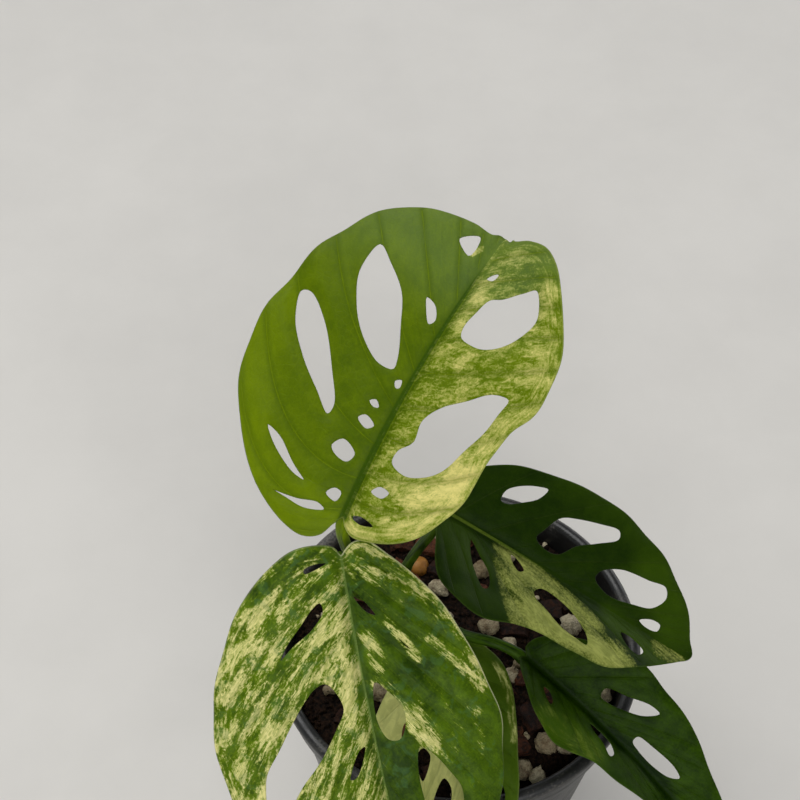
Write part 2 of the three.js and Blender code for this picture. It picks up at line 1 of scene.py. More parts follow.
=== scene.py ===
# A young variegated monstera with five holed leaves, in a thin round nursery pot.

import math

import bpy
import numpy as np
from bpy.props import (
    FloatProperty,
    FloatVectorProperty,
    IntProperty,
    PointerProperty,
)
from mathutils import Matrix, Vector
from mathutils.geometry import delaunay_2d_cdt


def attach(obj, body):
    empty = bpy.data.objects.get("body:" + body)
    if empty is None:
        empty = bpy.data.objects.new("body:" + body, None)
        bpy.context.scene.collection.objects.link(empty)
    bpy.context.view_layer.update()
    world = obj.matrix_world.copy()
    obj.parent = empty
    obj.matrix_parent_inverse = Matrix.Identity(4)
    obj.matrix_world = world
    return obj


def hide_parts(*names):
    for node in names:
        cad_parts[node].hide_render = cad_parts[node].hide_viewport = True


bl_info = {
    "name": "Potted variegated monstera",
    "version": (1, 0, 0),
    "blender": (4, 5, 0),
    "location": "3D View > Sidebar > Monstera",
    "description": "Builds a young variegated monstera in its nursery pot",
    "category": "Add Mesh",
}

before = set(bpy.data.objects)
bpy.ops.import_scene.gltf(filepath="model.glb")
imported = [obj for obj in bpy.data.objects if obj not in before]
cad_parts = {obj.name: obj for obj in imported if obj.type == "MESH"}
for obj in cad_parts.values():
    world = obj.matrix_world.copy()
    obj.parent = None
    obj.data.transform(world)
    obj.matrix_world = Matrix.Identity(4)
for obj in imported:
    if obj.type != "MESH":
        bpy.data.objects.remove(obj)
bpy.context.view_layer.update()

MM = 0.001
BODY = "root"

# Each leaf is laid out flat, in millimetres: y runs up the midrib from the petiole and x across it.
# The posed blade starts at base, heads along the compass angle heading (from +X towards +Y) and
# climbs at rise. Both turn evenly along the midrib, by turn and bend, up to its tip. Each half is
# lifted by its fold angle and arches by its curl, in degrees for every CURL_SPAN across.
# petiole lists the stalk's centre line from the stem to just below the blade.
CURL_SPAN = 30
LEAVES = {
    "leaf_top": {
        "length": 72.5, "base": [-28.4, -17.8, 167.6],
        "heading": 61.8, "turn": -19.6, "rise": 33.1, "bend": 3.9, "roll": -4,
        "fold_left": 6, "fold_right": 30, "curl_left": -6, "curl_right": -8,
        "tip_curl": {"start": 71.5, "radius": 1.2, "half_width": 1.5},
        "petiole": [[-15.8, 4.4, 108], [-17.6, -1, 121], [-22.5, -9.5, 136], [-26.5, -14.8, 148],
            [-28, -16.6, 156.4], [-28.5, -17.4, 163]],
        "outline": [[0, 0.5], [-1.5, -1.5], [-3.5, -5], [-7, -6.5], [-12, -5.5], [-19.5, -1.5],
            [-25.5, 3.5], [-31.5, 10.5], [-37, 19], [-39, 27], [-39.5, 34], [-38, 41], [-36.5, 49.5],
            [-33.5, 55], [-28.5, 62.5], [-21, 67.5], [-14.5, 70], [-8, 71.5], [-2.5, 72], [-1, 75],
            [0.5, 78], [1.8, 75], [3, 73.5], [8, 75.5], [14, 76.5], [20.5, 74.5], [26.5, 70],
            [31.5, 64], [35.5, 56.5], [37, 49], [36, 42], [33, 36], [31, 29], [30.5, 21.5],
            [27.5, 11.5], [23.5, 5.5], [17.5, 0.5], [10, -2], [4.5, -2.5], [1.5, -1]],
        "holes": [
            [[-9, 67], [-5, 70], [-4, 67.5], [-4.5, 65], [-7, 65.5]],
            [[3, 63], [4.5, 65], [6, 65.5], [5.5, 63.5]],
            [[8, 59.5], [11.5, 61.5], [15.5, 65], [19.5, 67.5], [23.5, 63], [24, 60], [22, 54.5],
                [15.5, 49.5], [11, 48.5], [6.5, 49], [5.5, 51.5], [6.5, 55.5]],
            [[-24, 56.5], [-19, 54.5], [-13, 50.5], [-9, 44.5], [-5.5, 38], [-5, 35], [-9, 34.5],
                [-15.5, 38], [-21, 43.5], [-25, 50]],
            [[-7.5, 52.5], [-4.5, 52], [-2.5, 49], [-3.5, 47.5], [-6, 50]],
            [[-34.5, 39.5], [-32, 40.5], [-25, 36.5], [-17.5, 28.5], [-13, 22], [-13.5, 19.5],
                [-18.5, 23], [-25.5, 28], [-32, 34]],
            [[-25, 12], [-21, 11], [-15.5, 7], [-11.5, 4.5], [-15, 5], [-22, 9]],
            [[-17.5, 0], [-11.5, 0.5], [-6.5, 1.5], [-4.5, 0.5], [-9, -1], [-14, -0.5]],
            [[-6, 4], [-4.5, 6], [-2.5, 5.5], [-3, 3]],
            [[-9.5, 14], [-7.5, 16.5], [-3.5, 14.5], [-4.5, 12], [-8, 12.5]],
            [[-7, 22], [-5.5, 23.5], [-2.5, 22], [-4, 20.5]],
            [[-6.5, 26.5], [-5, 27.5], [-3.5, 26], [-5, 25.5]],
            [[-3.5, 33], [-2, 34], [-1.5, 32], [-2.5, 31.5]],
            [[6.5, 16.5], [6.5, 19.5], [9.5, 23], [9, 28], [12.5, 33], [19, 38], [24.5, 42],
                [28.5, 42.5], [28, 38], [25.5, 30], [22.5, 22.5], [17.5, 17], [12, 15]],
            [[4.5, 8.5], [6.5, 10.5], [10, 10], [8.5, 8]],
            [[2, 1.5], [5, 2.5], [9.5, 1.5], [5.5, 0.5]],
        ],
    },
    "leaf_front": {
        "length": 105, "base": [-28.7, -22.9, 160.8],
        "heading": -79.1, "turn": 11.7, "rise": -31.1, "bend": -22.3, "roll": 0,
        "fold_left": 10, "fold_right": 10, "curl_left": -24, "curl_right": -30,
        "petiole": [[-16, 6.5, 98], [-22, -3.5, 113], [-26.2, -15, 134], [-28.8, -21.6, 150],
            [-29.2, -23.3, 157.3]],
        "outline": [[0, 0], [1.5, -2], [5.5, -3], [11, -2.5], [16.5, 0.5], [21.5, 4.5], [26.5, 10.5],
            [31, 19], [34, 26.5], [35.5, 36], [34.5, 46], [31.5, 57], [26, 67], [20.5, 75], [14, 83.5],
            [7, 93], [2.5, 99.5], [0.8, 103.5], [0, 106], [-1.2, 103], [-3, 98.5], [-7.5, 92],
            [-14.5, 82], [-20.5, 73], [-25.5, 62], [-28.5, 52], [-29.5, 43], [-28, 35], [-25, 25],
            [-21, 15], [-15.5, 7], [-10.5, 1.5], [-6, -2.5], [-3, -2.5], [-1, -1]],
        "holes": [
            [[3.5, 1.2], [6, 2.3], [9, 2.9], [9, 1.8], [6, 0.9]],
            [[6.5, 9.5], [6, 11.5], [9, 15], [14, 18], [17.5, 20.5], [16, 18], [11.5, 13.5],
                [8.5, 10.5]],
            [[8.5, 27], [6.5, 29.5], [5.5, 33.5], [8, 37.5], [12.5, 43], [18, 48], [22.5, 53.5],
                [26.5, 59], [28, 56], [27, 50], [25.5, 44], [21.5, 39], [17.5, 34], [13.5, 29.5],
                [11, 27.5]],
            [[-1.2, 8], [-3, 10], [-5.5, 14.5], [-3.5, 13.5], [-1.2, 9.7]],
            [[-9.3, 20], [-10.8, 21.8], [-12, 23.7], [-10.4, 22.4]],
            [[-2.5, 29], [-5, 31.5], [-7.5, 35.5], [-7.5, 40], [-5.5, 43], [-3, 42.5], [-1.4, 39],
                [-1.3, 33]],
            [[2.5, 42.5], [3.5, 45.5], [6, 49], [7.5, 49], [6.5, 46.5], [4, 43]],
            [[-9.5, 45.5], [-12, 47.5], [-15, 52.5], [-17, 57.5], [-16, 64], [-13.5, 70], [-11, 71.5],
                [-9, 68], [-8, 60], [-8, 50]],
        ],
    },
    "leaf_right": {
        "length": 74, "base": [-3.6, 6.4, 137],
        "heading": -22.1, "turn": 2.8, "rise": -21.5, "bend": -9.7, "roll": 0,
        "fold_left": 22, "fold_right": 22, "curl_left": -14, "curl_right": -14,
        "petiole": [[-15.8, 7, 95], [-14, 8.3, 108], [-11, 7, 119], [-7.8, 5.7, 128],
            [-5.2, 5.8, 134.4]],
        "outline": [[0, 0], [-1, -1.5], [-3.5, -3.3], [-8, -3], [-13.5, 1], [-19, 8.5], [-22, 16.5],
            [-24, 25.5], [-25, 36], [-23.5, 46], [-20.5, 55], [-16, 62.5], [-11, 68.5], [-5, 72],
            [-1.5, 74.5], [3, 70.5], [9, 64], [14.5, 57.5], [19.5, 50], [21.5, 40], [21, 33],
            [23.5, 25], [26.5, 17], [26, 10], [23, 4.5], [18, 1.5], [12.5, 0], [6, -1.5], [2.5, -1.5]],
        "holes": [
            [[-9.5, 10.5], [-12.5, 10.5], [-15, 12.5], [-18, 17], [-19, 20.5], [-15.5, 19.5], [-12, 16],
                [-9.5, 12.5]],
            [[-6, 23], [-9, 24], [-14, 26.5], [-16.5, 31], [-18.5, 37], [-19.5, 42], [-17.5, 43],
                [-13, 38], [-9.5, 33.5], [-5, 30], [-4.5, 26]],
            [[-5, 41.5], [-7.5, 42], [-11, 47], [-12.5, 55], [-13.5, 60], [-11, 61.5], [-6.5, 59],
                [-4.5, 54], [-3, 46.5]],
            [[-2, 57], [-4, 60], [-4, 63], [-2, 63], [-1.2, 59.5]],
            [[5, 8], [9, 11.5], [13, 15], [17.5, 16], [18.5, 14.5], [14.5, 11], [9, 8.5]],
            [[1.5, 19], [3, 22], [5, 23.5], [6.5, 22], [4, 19.5]],
            [[10.5, 27], [7.5, 29], [7.5, 34], [9.5, 39], [14, 43], [17.5, 43.5], [16.5, 38],
                [14, 31.5], [12.5, 28]],
            [[5.5, 52.5], [5, 56], [7, 60], [9.5, 58.5], [9, 55]],
        ],
    },
    "leaf_low_right": {
        "length": 81, "base": [16.9, -16.3, 105],
        "heading": -37.3, "turn": -3.8, "rise": -15.4, "bend": -25.6, "roll": 0,
        "fold_left": 34, "fold_right": 34, "curl_left": -18, "curl_right": -18,
        "petiole": [[-16.2, 8.6, 88], [-10.5, 2.5, 95], [-5, -5.5, 103.6], [1.5, -12, 108.4],
            [8, -14.3, 109], [13.5, -15.4, 106.6]],
        "outline": [[0, 0], [-2, -1.5], [-5, -1], [-8.5, 2], [-13, 8.5], [-17, 17], [-18.5, 23.5],
            [-17.5, 31], [-17, 37], [-15, 45], [-12, 52], [-9.5, 60], [-6, 69], [-3, 76], [-0.5, 81.5],
            [2.5, 74], [6, 64], [8, 55], [10.5, 44], [13, 35], [14.5, 28], [17.5, 22], [19, 17],
            [17, 12], [12.5, 6.5], [7.5, 2], [3.5, -0.5], [1.5, -0.8]],
        "holes": [
            [[-5, 20.5], [-7.5, 20], [-10, 25.5], [-12.5, 31], [-12.5, 34], [-9, 31.5], [-6.5, 27],
                [-5, 23]],
            [[-2.5, 34], [-4.5, 34], [-5.5, 39], [-6, 46], [-5, 49], [-3, 47], [-1.8, 42], [-1.8, 37]],
            [[3.5, 22.5], [3, 25], [3.5, 30], [6, 32], [8, 31], [6, 28], [5, 24.5]],
            [[5.5, 8], [5, 9.5], [7.5, 12], [9.5, 12], [8, 9.5]],
        ],
    },
    "leaf_low_front": {
        "length": 68, "base": [-5.6, -14.3, 102.7],
        "heading": -78.8, "turn": -5.9, "rise": -2.2, "bend": -24.6, "roll": 0,
        "fold_left": 10, "fold_right": 10, "curl_left": -14, "curl_right": -14,
        "petiole": [[-16.3, 9, 84], [-16.8, 0, 89.2], [-13, -6.8, 96.6], [-8, -11.5, 101.6]],
        "outline": [[0, 0], [1, -2.5], [4, -3.8], [8, -1], [13, 6], [17.5, 12.5], [21.5, 20],
            [24.5, 30.5], [24, 40.5], [20.5, 49.5], [15, 56.5], [8, 62.5], [2, 66.5], [-0.5, 68.5],
            [-3, 62], [-7, 54], [-11, 45.5], [-13.5, 37], [-14.5, 30], [-16, 20], [-16.5, 13],
            [-15.5, 6], [-12.5, 1], [-8.5, -3], [-4, -3.5], [-1, -2]],
        "holes": [
            [[8.5, 24.5], [7, 26.5], [8, 30], [10, 33], [11, 29], [10.5, 26]],
            [[4.5, 32.5], [3, 35], [4, 39.5], [7, 42.5], [8.5, 40], [7, 35.5]],
            [[-9.5, 36], [-10, 38.5], [-9, 41], [-8, 39], [-8.5, 37]],
            [[12, 17.5], [11.5, 20], [13.5, 21.5], [13, 19]],
            [[-3.5, 13], [-6, 15.5], [-10, 20], [-9, 21.5], [-5, 17.5]],
        ],
    },
}

# How the side veins and the colours lie on each flat leaf, for its left half (x < 0) and right half.
# A side vein leaves the midrib at one of starts and follows y = start + slope * u + bow * u * u, with
# u the distance from the midrib. slope and bow are each (at start 0, added for every mm of start).
# cream and light are brush strokes painted one over the other: (amount, radius, path). Cream is how
# much of the place is variegated, and light how pale its green is.
PATTERNS = {
    "leaf_top": {
        "veins": {
            "left": {"slope": (-0.62, 0.0417), "bow": (0.028, -0.0008), "starts": [-2, 2.7, 10, 18.3,
                27.5, 36.5, 45, 54, 62, 69]},
            "right": {"slope": (-0.15, 0.0125), "bow": (0.016, -0.0003), "starts": [-2, 5, 12, 20.5, 28.5,
                37, 45.5, 53, 60, 66.5, 72]},
        },
        "cream_base": (0.0, 0.1),
        "cream": [
            (0.3, 0.6, [(-4, 66), (-3.2, 68)]), (0.05, 8, [(4, 72), (22, 74)]),
            (0.02, 4.5, [(16, 68), (20, 72)]), (0.2, 2.5, [(4, 62), (8, 70)]),
            (0.36, 2.8, [(23, 68), (27, 62)]), (0.28, 3.6, [(29, 58), (33, 46)]),
            (0.52, 2.5, [(4, 51), (5, 59)]), (0.06, 4.5, [(4, 38), (10, 44)]),
            (0.38, 1.4, [(11, 43), (13, 47)]), (0.13, 4, [(16, 43), (30, 47)]),
            (0.04, 3.5, [(1, 8), (1, 46)]), (0.12, 2.5, [(6, 20), (7, 30)]),
            (0.08, 3, [(5, 4), (10, 12)]), (0.35, 3, [(12, 12), (19, 14)]),
            (0.9, 4.3, [(20, 12), (25, 18), (26, 25)]), (0.4, 2.5, [(27, 27), (29, 36)]),
            (0.58, 2.8, [(14, 3), (22, 8)]), (0.35, 1.3, [(28.5, 10), (30.5, 20)]),
            (0.4, 1.6, [(1, -1.5), (10, -0.5)]),
        ],
        "light_base": (0.45, 0.5),
        "light": [
            (0.75, 6, [(-38, 35), (-35, 16), (-24, 4)]), (0.8, 7, [(-14, -4), (-3, -3)]),
            (0.3, 6, [(-2, 8), (-2, 36)]), (0.35, 5, [(-2, 36), (-2, 60)]),
            (0.35, 5, [(-9, 24), (-20, 36)]), (0.5, 9, [(-30, 58), (-12, 67)]),
            (0.15, 1.6, [(1, 2), (0.8, 60)]), (0.35, 6, [(12, 67), (22, 70)]),
        ],
    },
    "leaf_front": {
        "veins": {
            "left": {"slope": (0.9, 0.025), "bow": (0.004, 0.0), "starts": [-3, 2, 6, 12, 18, 23.8, 35.2,
                50, 57, 64.5, 72.5, 80.5, 88.5, 96]},
            "right": {"slope": (0.6, 0.02), "bow": (0.004, 0.0), "starts": [-3, 3.2, 9.2, 15.3, 28.5,
                35.3, 42.3, 49.5, 57, 65, 73, 81, 89, 97]},
        },
        "cream_base": (0.02, 0.34),
        "cream": [
            (0.32, 4.6, [(-3, 0), (-12, 3), (-17, 9)]), (0.34, 3, [(-17, 7), (-22, 16)]),
            (0.55, 1.5, [(-21, 14), (-25, 26), (-27, 34)]),
            (0.56, 1.0, [(-16.5, 22), (-18.5, 25), (-22, 29), (-26.5, 36)]),
            (0.44, 0.8, [(-7.5, 16), (-10, 20), (-13, 26)]), (0.4, 1.5, [(-2.6, 19), (-4.4, 25.5)]),
            (0.62, 1.4, [(-2.6, 29.5), (-5.4, 32.5), (-8.4, 37), (-9.4, 41)]),
            (0.64, 2.1, [(-9.5, 38), (-12, 45)]), (0.25, 0.9, [(-24, 41), (-23, 51)]),
            (0.0, 3, [(-4, 43), (-5, 60)]), (0.3, 3, [(-12, 72), (-8, 84)]),
            (0.12, 3.4, [(4, -0.5), (12, 0), (20, 4)]), (0.2, 2.4, [(2, 3), (10, 7)]),
            (0.3, 2.6, [(11, 9), (19, 13.5)]), (0.3, 2.6, [(12, 20), (21, 26)]),
            (0.42, 4, [(24, 27), (31, 33)]), (0.53, 3.2, [(3.5, 10), (4.5, 28)]),
            (0.5, 3.6, [(22, 12), (29, 22)]), (0.58, 2.8, [(6, 22), (14, 27)]),
            (0.75, 1.8, [(4, 30), (5, 37)]), (0.5, 3, [(24, 36), (31, 50)]),
            (0.25, 0.8, [(1, 30), (1, 60)]),
        ],
        "light_base": (0.42, 0.5),
        "light": [
            (0.5, 5, [(-20, 26), (-24, 52)]), (0.15, 4, [(-4, 44), (-5, 62)]),
            (0.2, 4, [(-4, 10), (-12, 30)]), (0.2, 3, [(6, 0), (20, 4)]),
        ],
    },
    "leaf_right": {
        "veins": {
            "left": {"slope": (0.5, 0.043), "bow": (0.004, 0.0), "starts": [-3, 1.5, 10.5, 25.5, 34, 45,
                52, 58.5, 66]},
            "right": {"slope": (0.5, 0.043), "bow": (0.004, 0.0), "starts": [-3, 0.5, 7.5, 13, 27.5, 35,
                47.5, 56, 64]},
        },
        "cream_base": (0.0, 0.0),
        "cream": [
            (0.55, 3.2, [(3, 18), (11, 21), (20, 26)]), (0.9, 3.6, [(15, 28), (20, 30)]),
            (0.97, 4.4, [(17, 28), (18, 42), (16, 52)]), (0.66, 3.6, [(4, 24), (6.5, 33), (10, 43)]),
            (0.4, 2.4, [(3, 65), (1.5, 71)]),
        ],
        "light_base": (0.12, 0.13),
        "light": [
            (0.32, 6, [(5, 3), (12, 10)]), (0.2, 3, [(24, 10), (20, 24)]),
            (0.24, 5, [(-25, 24), (-23, 48)]), (0.4, 7, [(-14, 56), (-6, 67)]),
            (0.4, 4, [(3, 50), (6, 64)]),
        ],
    },
    "leaf_low_right": {
        "veins": {
            "left": {"slope": (0.4, 0.08), "bow": (0.0, 0.0), "starts": [-3, 2.5, 8, 19, 24.5, 37, 45, 54,
                63, 72]},
            "right": {"slope": (0.4, 0.08), "bow": (0.0, 0.0), "starts": [-3, 1.5, 8.5, 12.5, 24, 32, 40,
                49, 58, 67]},
        },
        "cream_base": (0.0, 0.0),
        "cream": [
            (0.1, 4, [(14, 13), (12, 25)]),
        ],
        "light_base": (0.4, 0.4),
        "light": [
            (0.95, 4.5, [(15, 14), (11, 26)]), (0.15, 2.5, [(0, 4), (0, 50)]),
        ],
    },
    "leaf_low_front": {
        "veins": {
            "left": {"slope": (0.5, 0.05), "bow": (0.0, 0.0), "starts": [-3, 3, 7, 14, 20, 27, 35, 43, 51,
                59]},
            "right": {"slope": (0.5, 0.05), "bow": (0.0, 0.0), "starts": [-3, 4, 11.5, 21.5, 31.5, 40, 48,
                56]},
        },
        "cream_base": (0.0, 1.0),
        "cream": [
            (0.2, 0.9, [(-14, 6), (-15.5, 14), (-14.5, 26)]),
        ],
        "light_base": (0.5, 0.8),
        "light": [
            (0.3, 3, [(-3, 10), (-4, 40)]),
        ],
    },
}

# Pot and soil, in millimetres
POT_HEIGHT = 88
POT_RIM_RADIUS = 50
POT_BASE_RADIUS = 36
POT_WALL = 1.6
POT_FLOOR = 2.4
POT_LIP_WIDTH = 3.6
POT_LIP_INNER = POT_RIM_RADIUS - POT_LIP_WIDTH
POT_BAND_HEIGHT = 11
DRAIN_HOLES = 8
DRAIN_HOLE_RADIUS = 4
DRAIN_CIRCLE_RADIUS = 25
DRILL_SPAN = (-5, 6)
DRILL_SIDES = 32
SOIL_TOP = 81
SOIL_CLEARANCE = 0.35
SOIL_SEED = 4177
BARK_COUNT = 46
PERLITE_COUNT = 22

# Lumps seen between the leaves: place, half size and kind
PLACED_LUMPS = [
    (-10, 27.5, 3.2, "pebble"), (8, 26, 2.9, "perlite"), (-4.5, 19.5, 2.8, "perlite"),
    (9.5, 7, 3, "perlite"), (32.5, 7.5, 3.2, "perlite"), (38.5, -13.5, 3.2, "perlite"),
    (23, -28.5, 3.2, "perlite"), (28.5, -29.5, 2.8, "perlite"), (16.5, -35.5, 3, "perlite"),
    (20.5, -37.5, 2.6, "perlite"), (15, -8, 2.6, "perlite"), (-21, -14, 2.7, "perlite"),
    (26.5, 13, 4.2, "bark"), (24.5, -14, 3.6, "bark"), (19.5, -21, 3.8, "bark"),
    (-6.5, 34, 4, "bark"), (-14.5, 35, 3.4, "bark"),
]

# Stem and petioles, in millimetres
STEM_RADIUS = 3.8
STEM_LINE = [(-16.5, 11, 62), (-16.5, 10, 78), (-16, 8, 91), (-15.5, 5.5, 103), (-15.8, 4, 112)]
STEM_RINGS = (0.45, 0.54, 0.66, 0.8, 0.93)
PETIOLE_RADIUS = 1.4
PETIOLE_FOOT_RADIUS = 2.5
KNEE_RADIUS = 1.8
PETIOLE_SIDES = 20

# Colours, given as a photo's red, green and blue from 0 to 255


def colour(red, green, blue):
    """A linear colour with alpha for the shaders."""
    shares = np.array([red, green, blue]) / 255
    linear = np.where(shares <= 0.04045, shares / 12.92, ((shares + 0.055) / 1.055) ** 2.4)
    return (*(float(v) for v in linear), 1.0)


def leaf_values(table, name):
    """One leaf's values from a table that lists the leaves in the order of LEAVES."""
    column = list(LEAVES).index(name)
    return {key: row[column] for key, row in table.items()}


def leaf_hues(name):
    return {key: colour(*rgb) for key, rgb in leaf_values(LEAF_COLOURS, name).items()}


# Curves and meshes


def smooth_step(value, low, high):
    """0 at low and 1 at high, with a smooth change between them."""
    share = np.clip((value - low) / (high - low), 0, 1)
    return share * share * (3 - 2 * share)


def bell(distance, width):
    """1 at no distance, falling to about a third at the width."""
    return np.exp(-(distance / width) ** 2)


def line_lengths(line):
    """How far along the line each of its points lies."""
    return np.concatenate([[0], np.cumsum(np.linalg.norm(np.diff(line, axis=0), axis=1))])


def smooth_line(corners, spacing, closed=False):
    """Evenly spaced points on the centripetal curve through the corners."""
    points = np.array(corners, float)
    if closed:
        before, start = np.roll(points, 1, 0), points
        after, beyond = np.roll(points, -1, 0), np.roll(points, -2, 0)
    else:
        ends = 2 * points[0] - points[1], 2 * points[-1] - points[-2]
        padded = np.vstack([ends[0], points, ends[1]])
        before, start, after, beyond = padded[:-3], padded[1:-2], padded[2:-1], padded[3:]
    gap = [np.sqrt(np.linalg.norm(b - a, axis=1))[:, None]
           for a, b in ((before, start), (start, after), (after, beyond))]
    leave = (start - before) / gap[0] - (after - before) / (gap[0] + gap[1]) + (after - start) / gap[1]
    arrive = (after - start) / gap[1] - (beyond - start) / (gap[1] + gap[2]) + (beyond - after) / gap[2]
    leave, arrive, start, after = (a[:, None] for a in (leave * gap[1], arrive * gap[1], start, after))
    steps = 24
    u = np.linspace(0, 1, steps, endpoint=False)[None, :, None]
    dense = ((2 * u**3 - 3 * u**2 + 1) * start + (u**3 - 2 * u**2 + u) * leave
             + (3 * u**2 - 2 * u**3) * after + (u**3 - u**2) * arrive)
    dense = np.vstack([dense.reshape(-1, points.shape[1]), points[:1] if closed else points[-1:]])
    reach = line_lengths(dense)
    count = max(5, round(reach[-1] / spacing))
    even = np.linspace(0, reach[-1], count + 1)
    even = even[:-1] if closed else even
    return np.stack([np.interp(even, reach, axis) for axis in dense.T], axis=1)


def nearest(points, others):
    """Distance from each point to the closest of the others, worked out in blocks."""
    block = 2000
    least = np.empty(len(points))
    for first in range(0, len(points), block):
        part = points[first:first + block]
        gaps = ((part[:, None] - others[None]) ** 2).sum(-1)
        least[first:first + block] = np.sqrt(gaps.min(1))
    return least


def is_inside(loop, points):
    """Which of the flat points lie inside a closed loop."""
    inside = np.zeros(len(points), bool)
    x, y = points.T
    for (ax, ay), (bx, by) in zip(loop, np.roll(loop, -1, 0)):
        if ay != by:
            inside ^= ((ay > y) != (by > y)) & (x < (bx - ax) * (y - ay) / (by - ay) + ax)
    return inside


def shade(piece, smooth):
    piece.data.polygons.foreach_set("use_smooth", np.full(len(piece.data.polygons), smooth))


def make_piece(name, points, faces, materials, slots=None, smooth=True):
    """A mesh object at the origin, with its points in millimetres."""
    mesh = bpy.data.meshes.new(name)
    mesh.from_pydata((np.asarray(points) * MM).tolist(), [], faces)
    for material in materials:
        mesh.materials.append(material)
    if slots is not None:
        mesh.polygons.foreach_set("material_index", slots)
    mesh.update()
    piece = bpy.data.objects.new(name, mesh)
    shade(piece, smooth)
    bpy.context.scene.collection.objects.link(piece)
    return piece


def add_values(piece, **values):
    """Per-point values that the piece's material reads by name."""
    for name, numbers in values.items():
        attribute = piece.data.attributes.new(name, "FLOAT", "POINT")
        attribute.data.foreach_set("value", np.asarray(numbers, np.float32))


def hand_over(piece, node):
    """The piece stands for a solid of the frame and takes its finish."""
    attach(piece, BODY)
    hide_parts(node)


def tube(line, radii, sides, facing, groove=0.0):
    """Rings round a line from its start to its end, with domed ends.

    facing is the direction at the line's end where the groove lies; it is carried back without
    twist. groove is its depth as a share of the radius.
    """
    groove_width, dome_height = 0.45, 0.5
    along = np.gradient(line, axis=0)
    along /= np.linalg.norm(along, axis=1)[:, None]
    ups = np.empty_like(line)
    up = np.array(facing, float)
    for i in range(len(line) - 1, -1, -1):
        up = up - along[i] * (up @ along[i])
        up /= np.linalg.norm(up)
        ups[i] = up
    rights = np.cross(along, ups)
    angle = 2 * np.pi * np.arange(sides) / sides
    dent = 1 - groove * bell(np.minimum(angle, 2 * np.pi - angle), groove_width)
    ring = (ups[:, None] * np.cos(angle)[None, :, None] + rights[:, None] * np.sin(angle)[None, :, None])
    points = line[:, None] + ring * (radii[:, None] * dent[None])[..., None]
    domes = [line[0] - along[0] * radii[0] * dome_height, line[-1] + along[-1] * radii[-1] * dome_height]
    last = len(line) - 1
    faces = []
    for i in range(last):
        for k in range(sides):
            a, b = i * sides + k, i * sides + (k + 1) % sides
            faces.append((a, a + sides, b + sides, b))
    start = len(line) * sides
    for k in range(sides):
        following = (k + 1) % sides
        faces.append((start, k, following))
        faces.append((start + 1, last * sides + following, last * sides + k))
    return np.vstack([points.reshape(-1, 3), domes]), faces, angle


def ring_faces(rings, segments):
    """Faces over a first pole, closed rings and a last pole, whose points are listed in that order."""
    faces = []
    last = 1 + (rings - 1) * segments
    for k in range(segments):
        following = (k + 1) % segments
        faces.append((0, 1 + following, 1 + k))
        for first in range(1, last, segments):
            a, b = first + k, first + following
            faces.append((a, b, b + segments, a + segments))
        faces.append((last + segments, last + k, last + following))
    return faces


def turned(profile, segments):
    """A closed shape turned about the vertical axis; the profile starts and ends on the axis."""
    angle = 2 * np.pi * np.arange(segments) / segments
    rings = [[(r * math.cos(a), r * math.sin(a), z) for a in angle] for r, z in profile[1:-1]]
    points = [(0, 0, profile[0][1])] + [p for ring in rings for p in ring] + [(0, 0, profile[-1][1])]
    return points, ring_faces(len(rings), segments)


# Node trees


class Socket:
    """A node's output that works in Python sums; every sum adds a Math node."""

    def __init__(self, tree, output):
        self.tree = tree
        self.output = output

    def _math(self, operation, *values):
        return self.tree.node("ShaderNodeMath", {"operation": operation}, values)

    def __add__(self, other):
        return self._math("ADD", self, other)

    def __radd__(self, other):
        return self._math("ADD", other, self)

    def __sub__(self, other):
        return self._math("SUBTRACT", self, other)

    def __rsub__(self, other):
        return self._math("SUBTRACT", other, self)

    def __mul__(self, other):
        return self._math("MULTIPLY", self, other)

    def __rmul__(self, other):
        return self._math("MULTIPLY", other, self)

    def __truediv__(self, other):
        return self._math("DIVIDE", self, other)

    def __rtruediv__(self, other):
        return self._math("DIVIDE", other, self)

    def __abs__(self):
        return self._math("ABSOLUTE", self)

    def least(self, other):
        return self._math("MINIMUM", self, other)

    def off_whole(self):
        """Distance to the nearest whole number."""
        return self._math("PINGPONG", self, 0.5)

    def step(self, low, high):
        """0 at low and 1 at high, with a smooth change between them."""
        settings = {"interpolation_type": "SMOOTHSTEP"}
        values = {"Value": self, "From Min": low, "From Max": high}
        return self.tree.node("ShaderNodeMapRange", settings, values)

    def fade(self, low, high):
        """1 at low and 0 at high."""
        return 1 - self.step(low, high)


class Tree:
    """A node tree that is built up from Python."""

    def __init__(self, node_tree):
        self.node_tree = node_tree

    def node(self, kind, settings=None, inputs=None, out=0):
        """Adds a node: its settings first, then the values or links of its sockets."""
        made = self.node_tree.nodes.new(kind)
        for name, value in (settings or {}).items():
            setattr(made, name, value)
        pairs = inputs.items() if isinstance(inputs, dict) else enumerate(inputs or ())
        for key, value in pairs:
            if isinstance(value, Socket):
                self.node_tree.links.new(value.output, made.inputs[key])
            else:
                made.inputs[key].default_value = value
        return Socket(self, made.outputs[out]) if len(made.outputs) else None


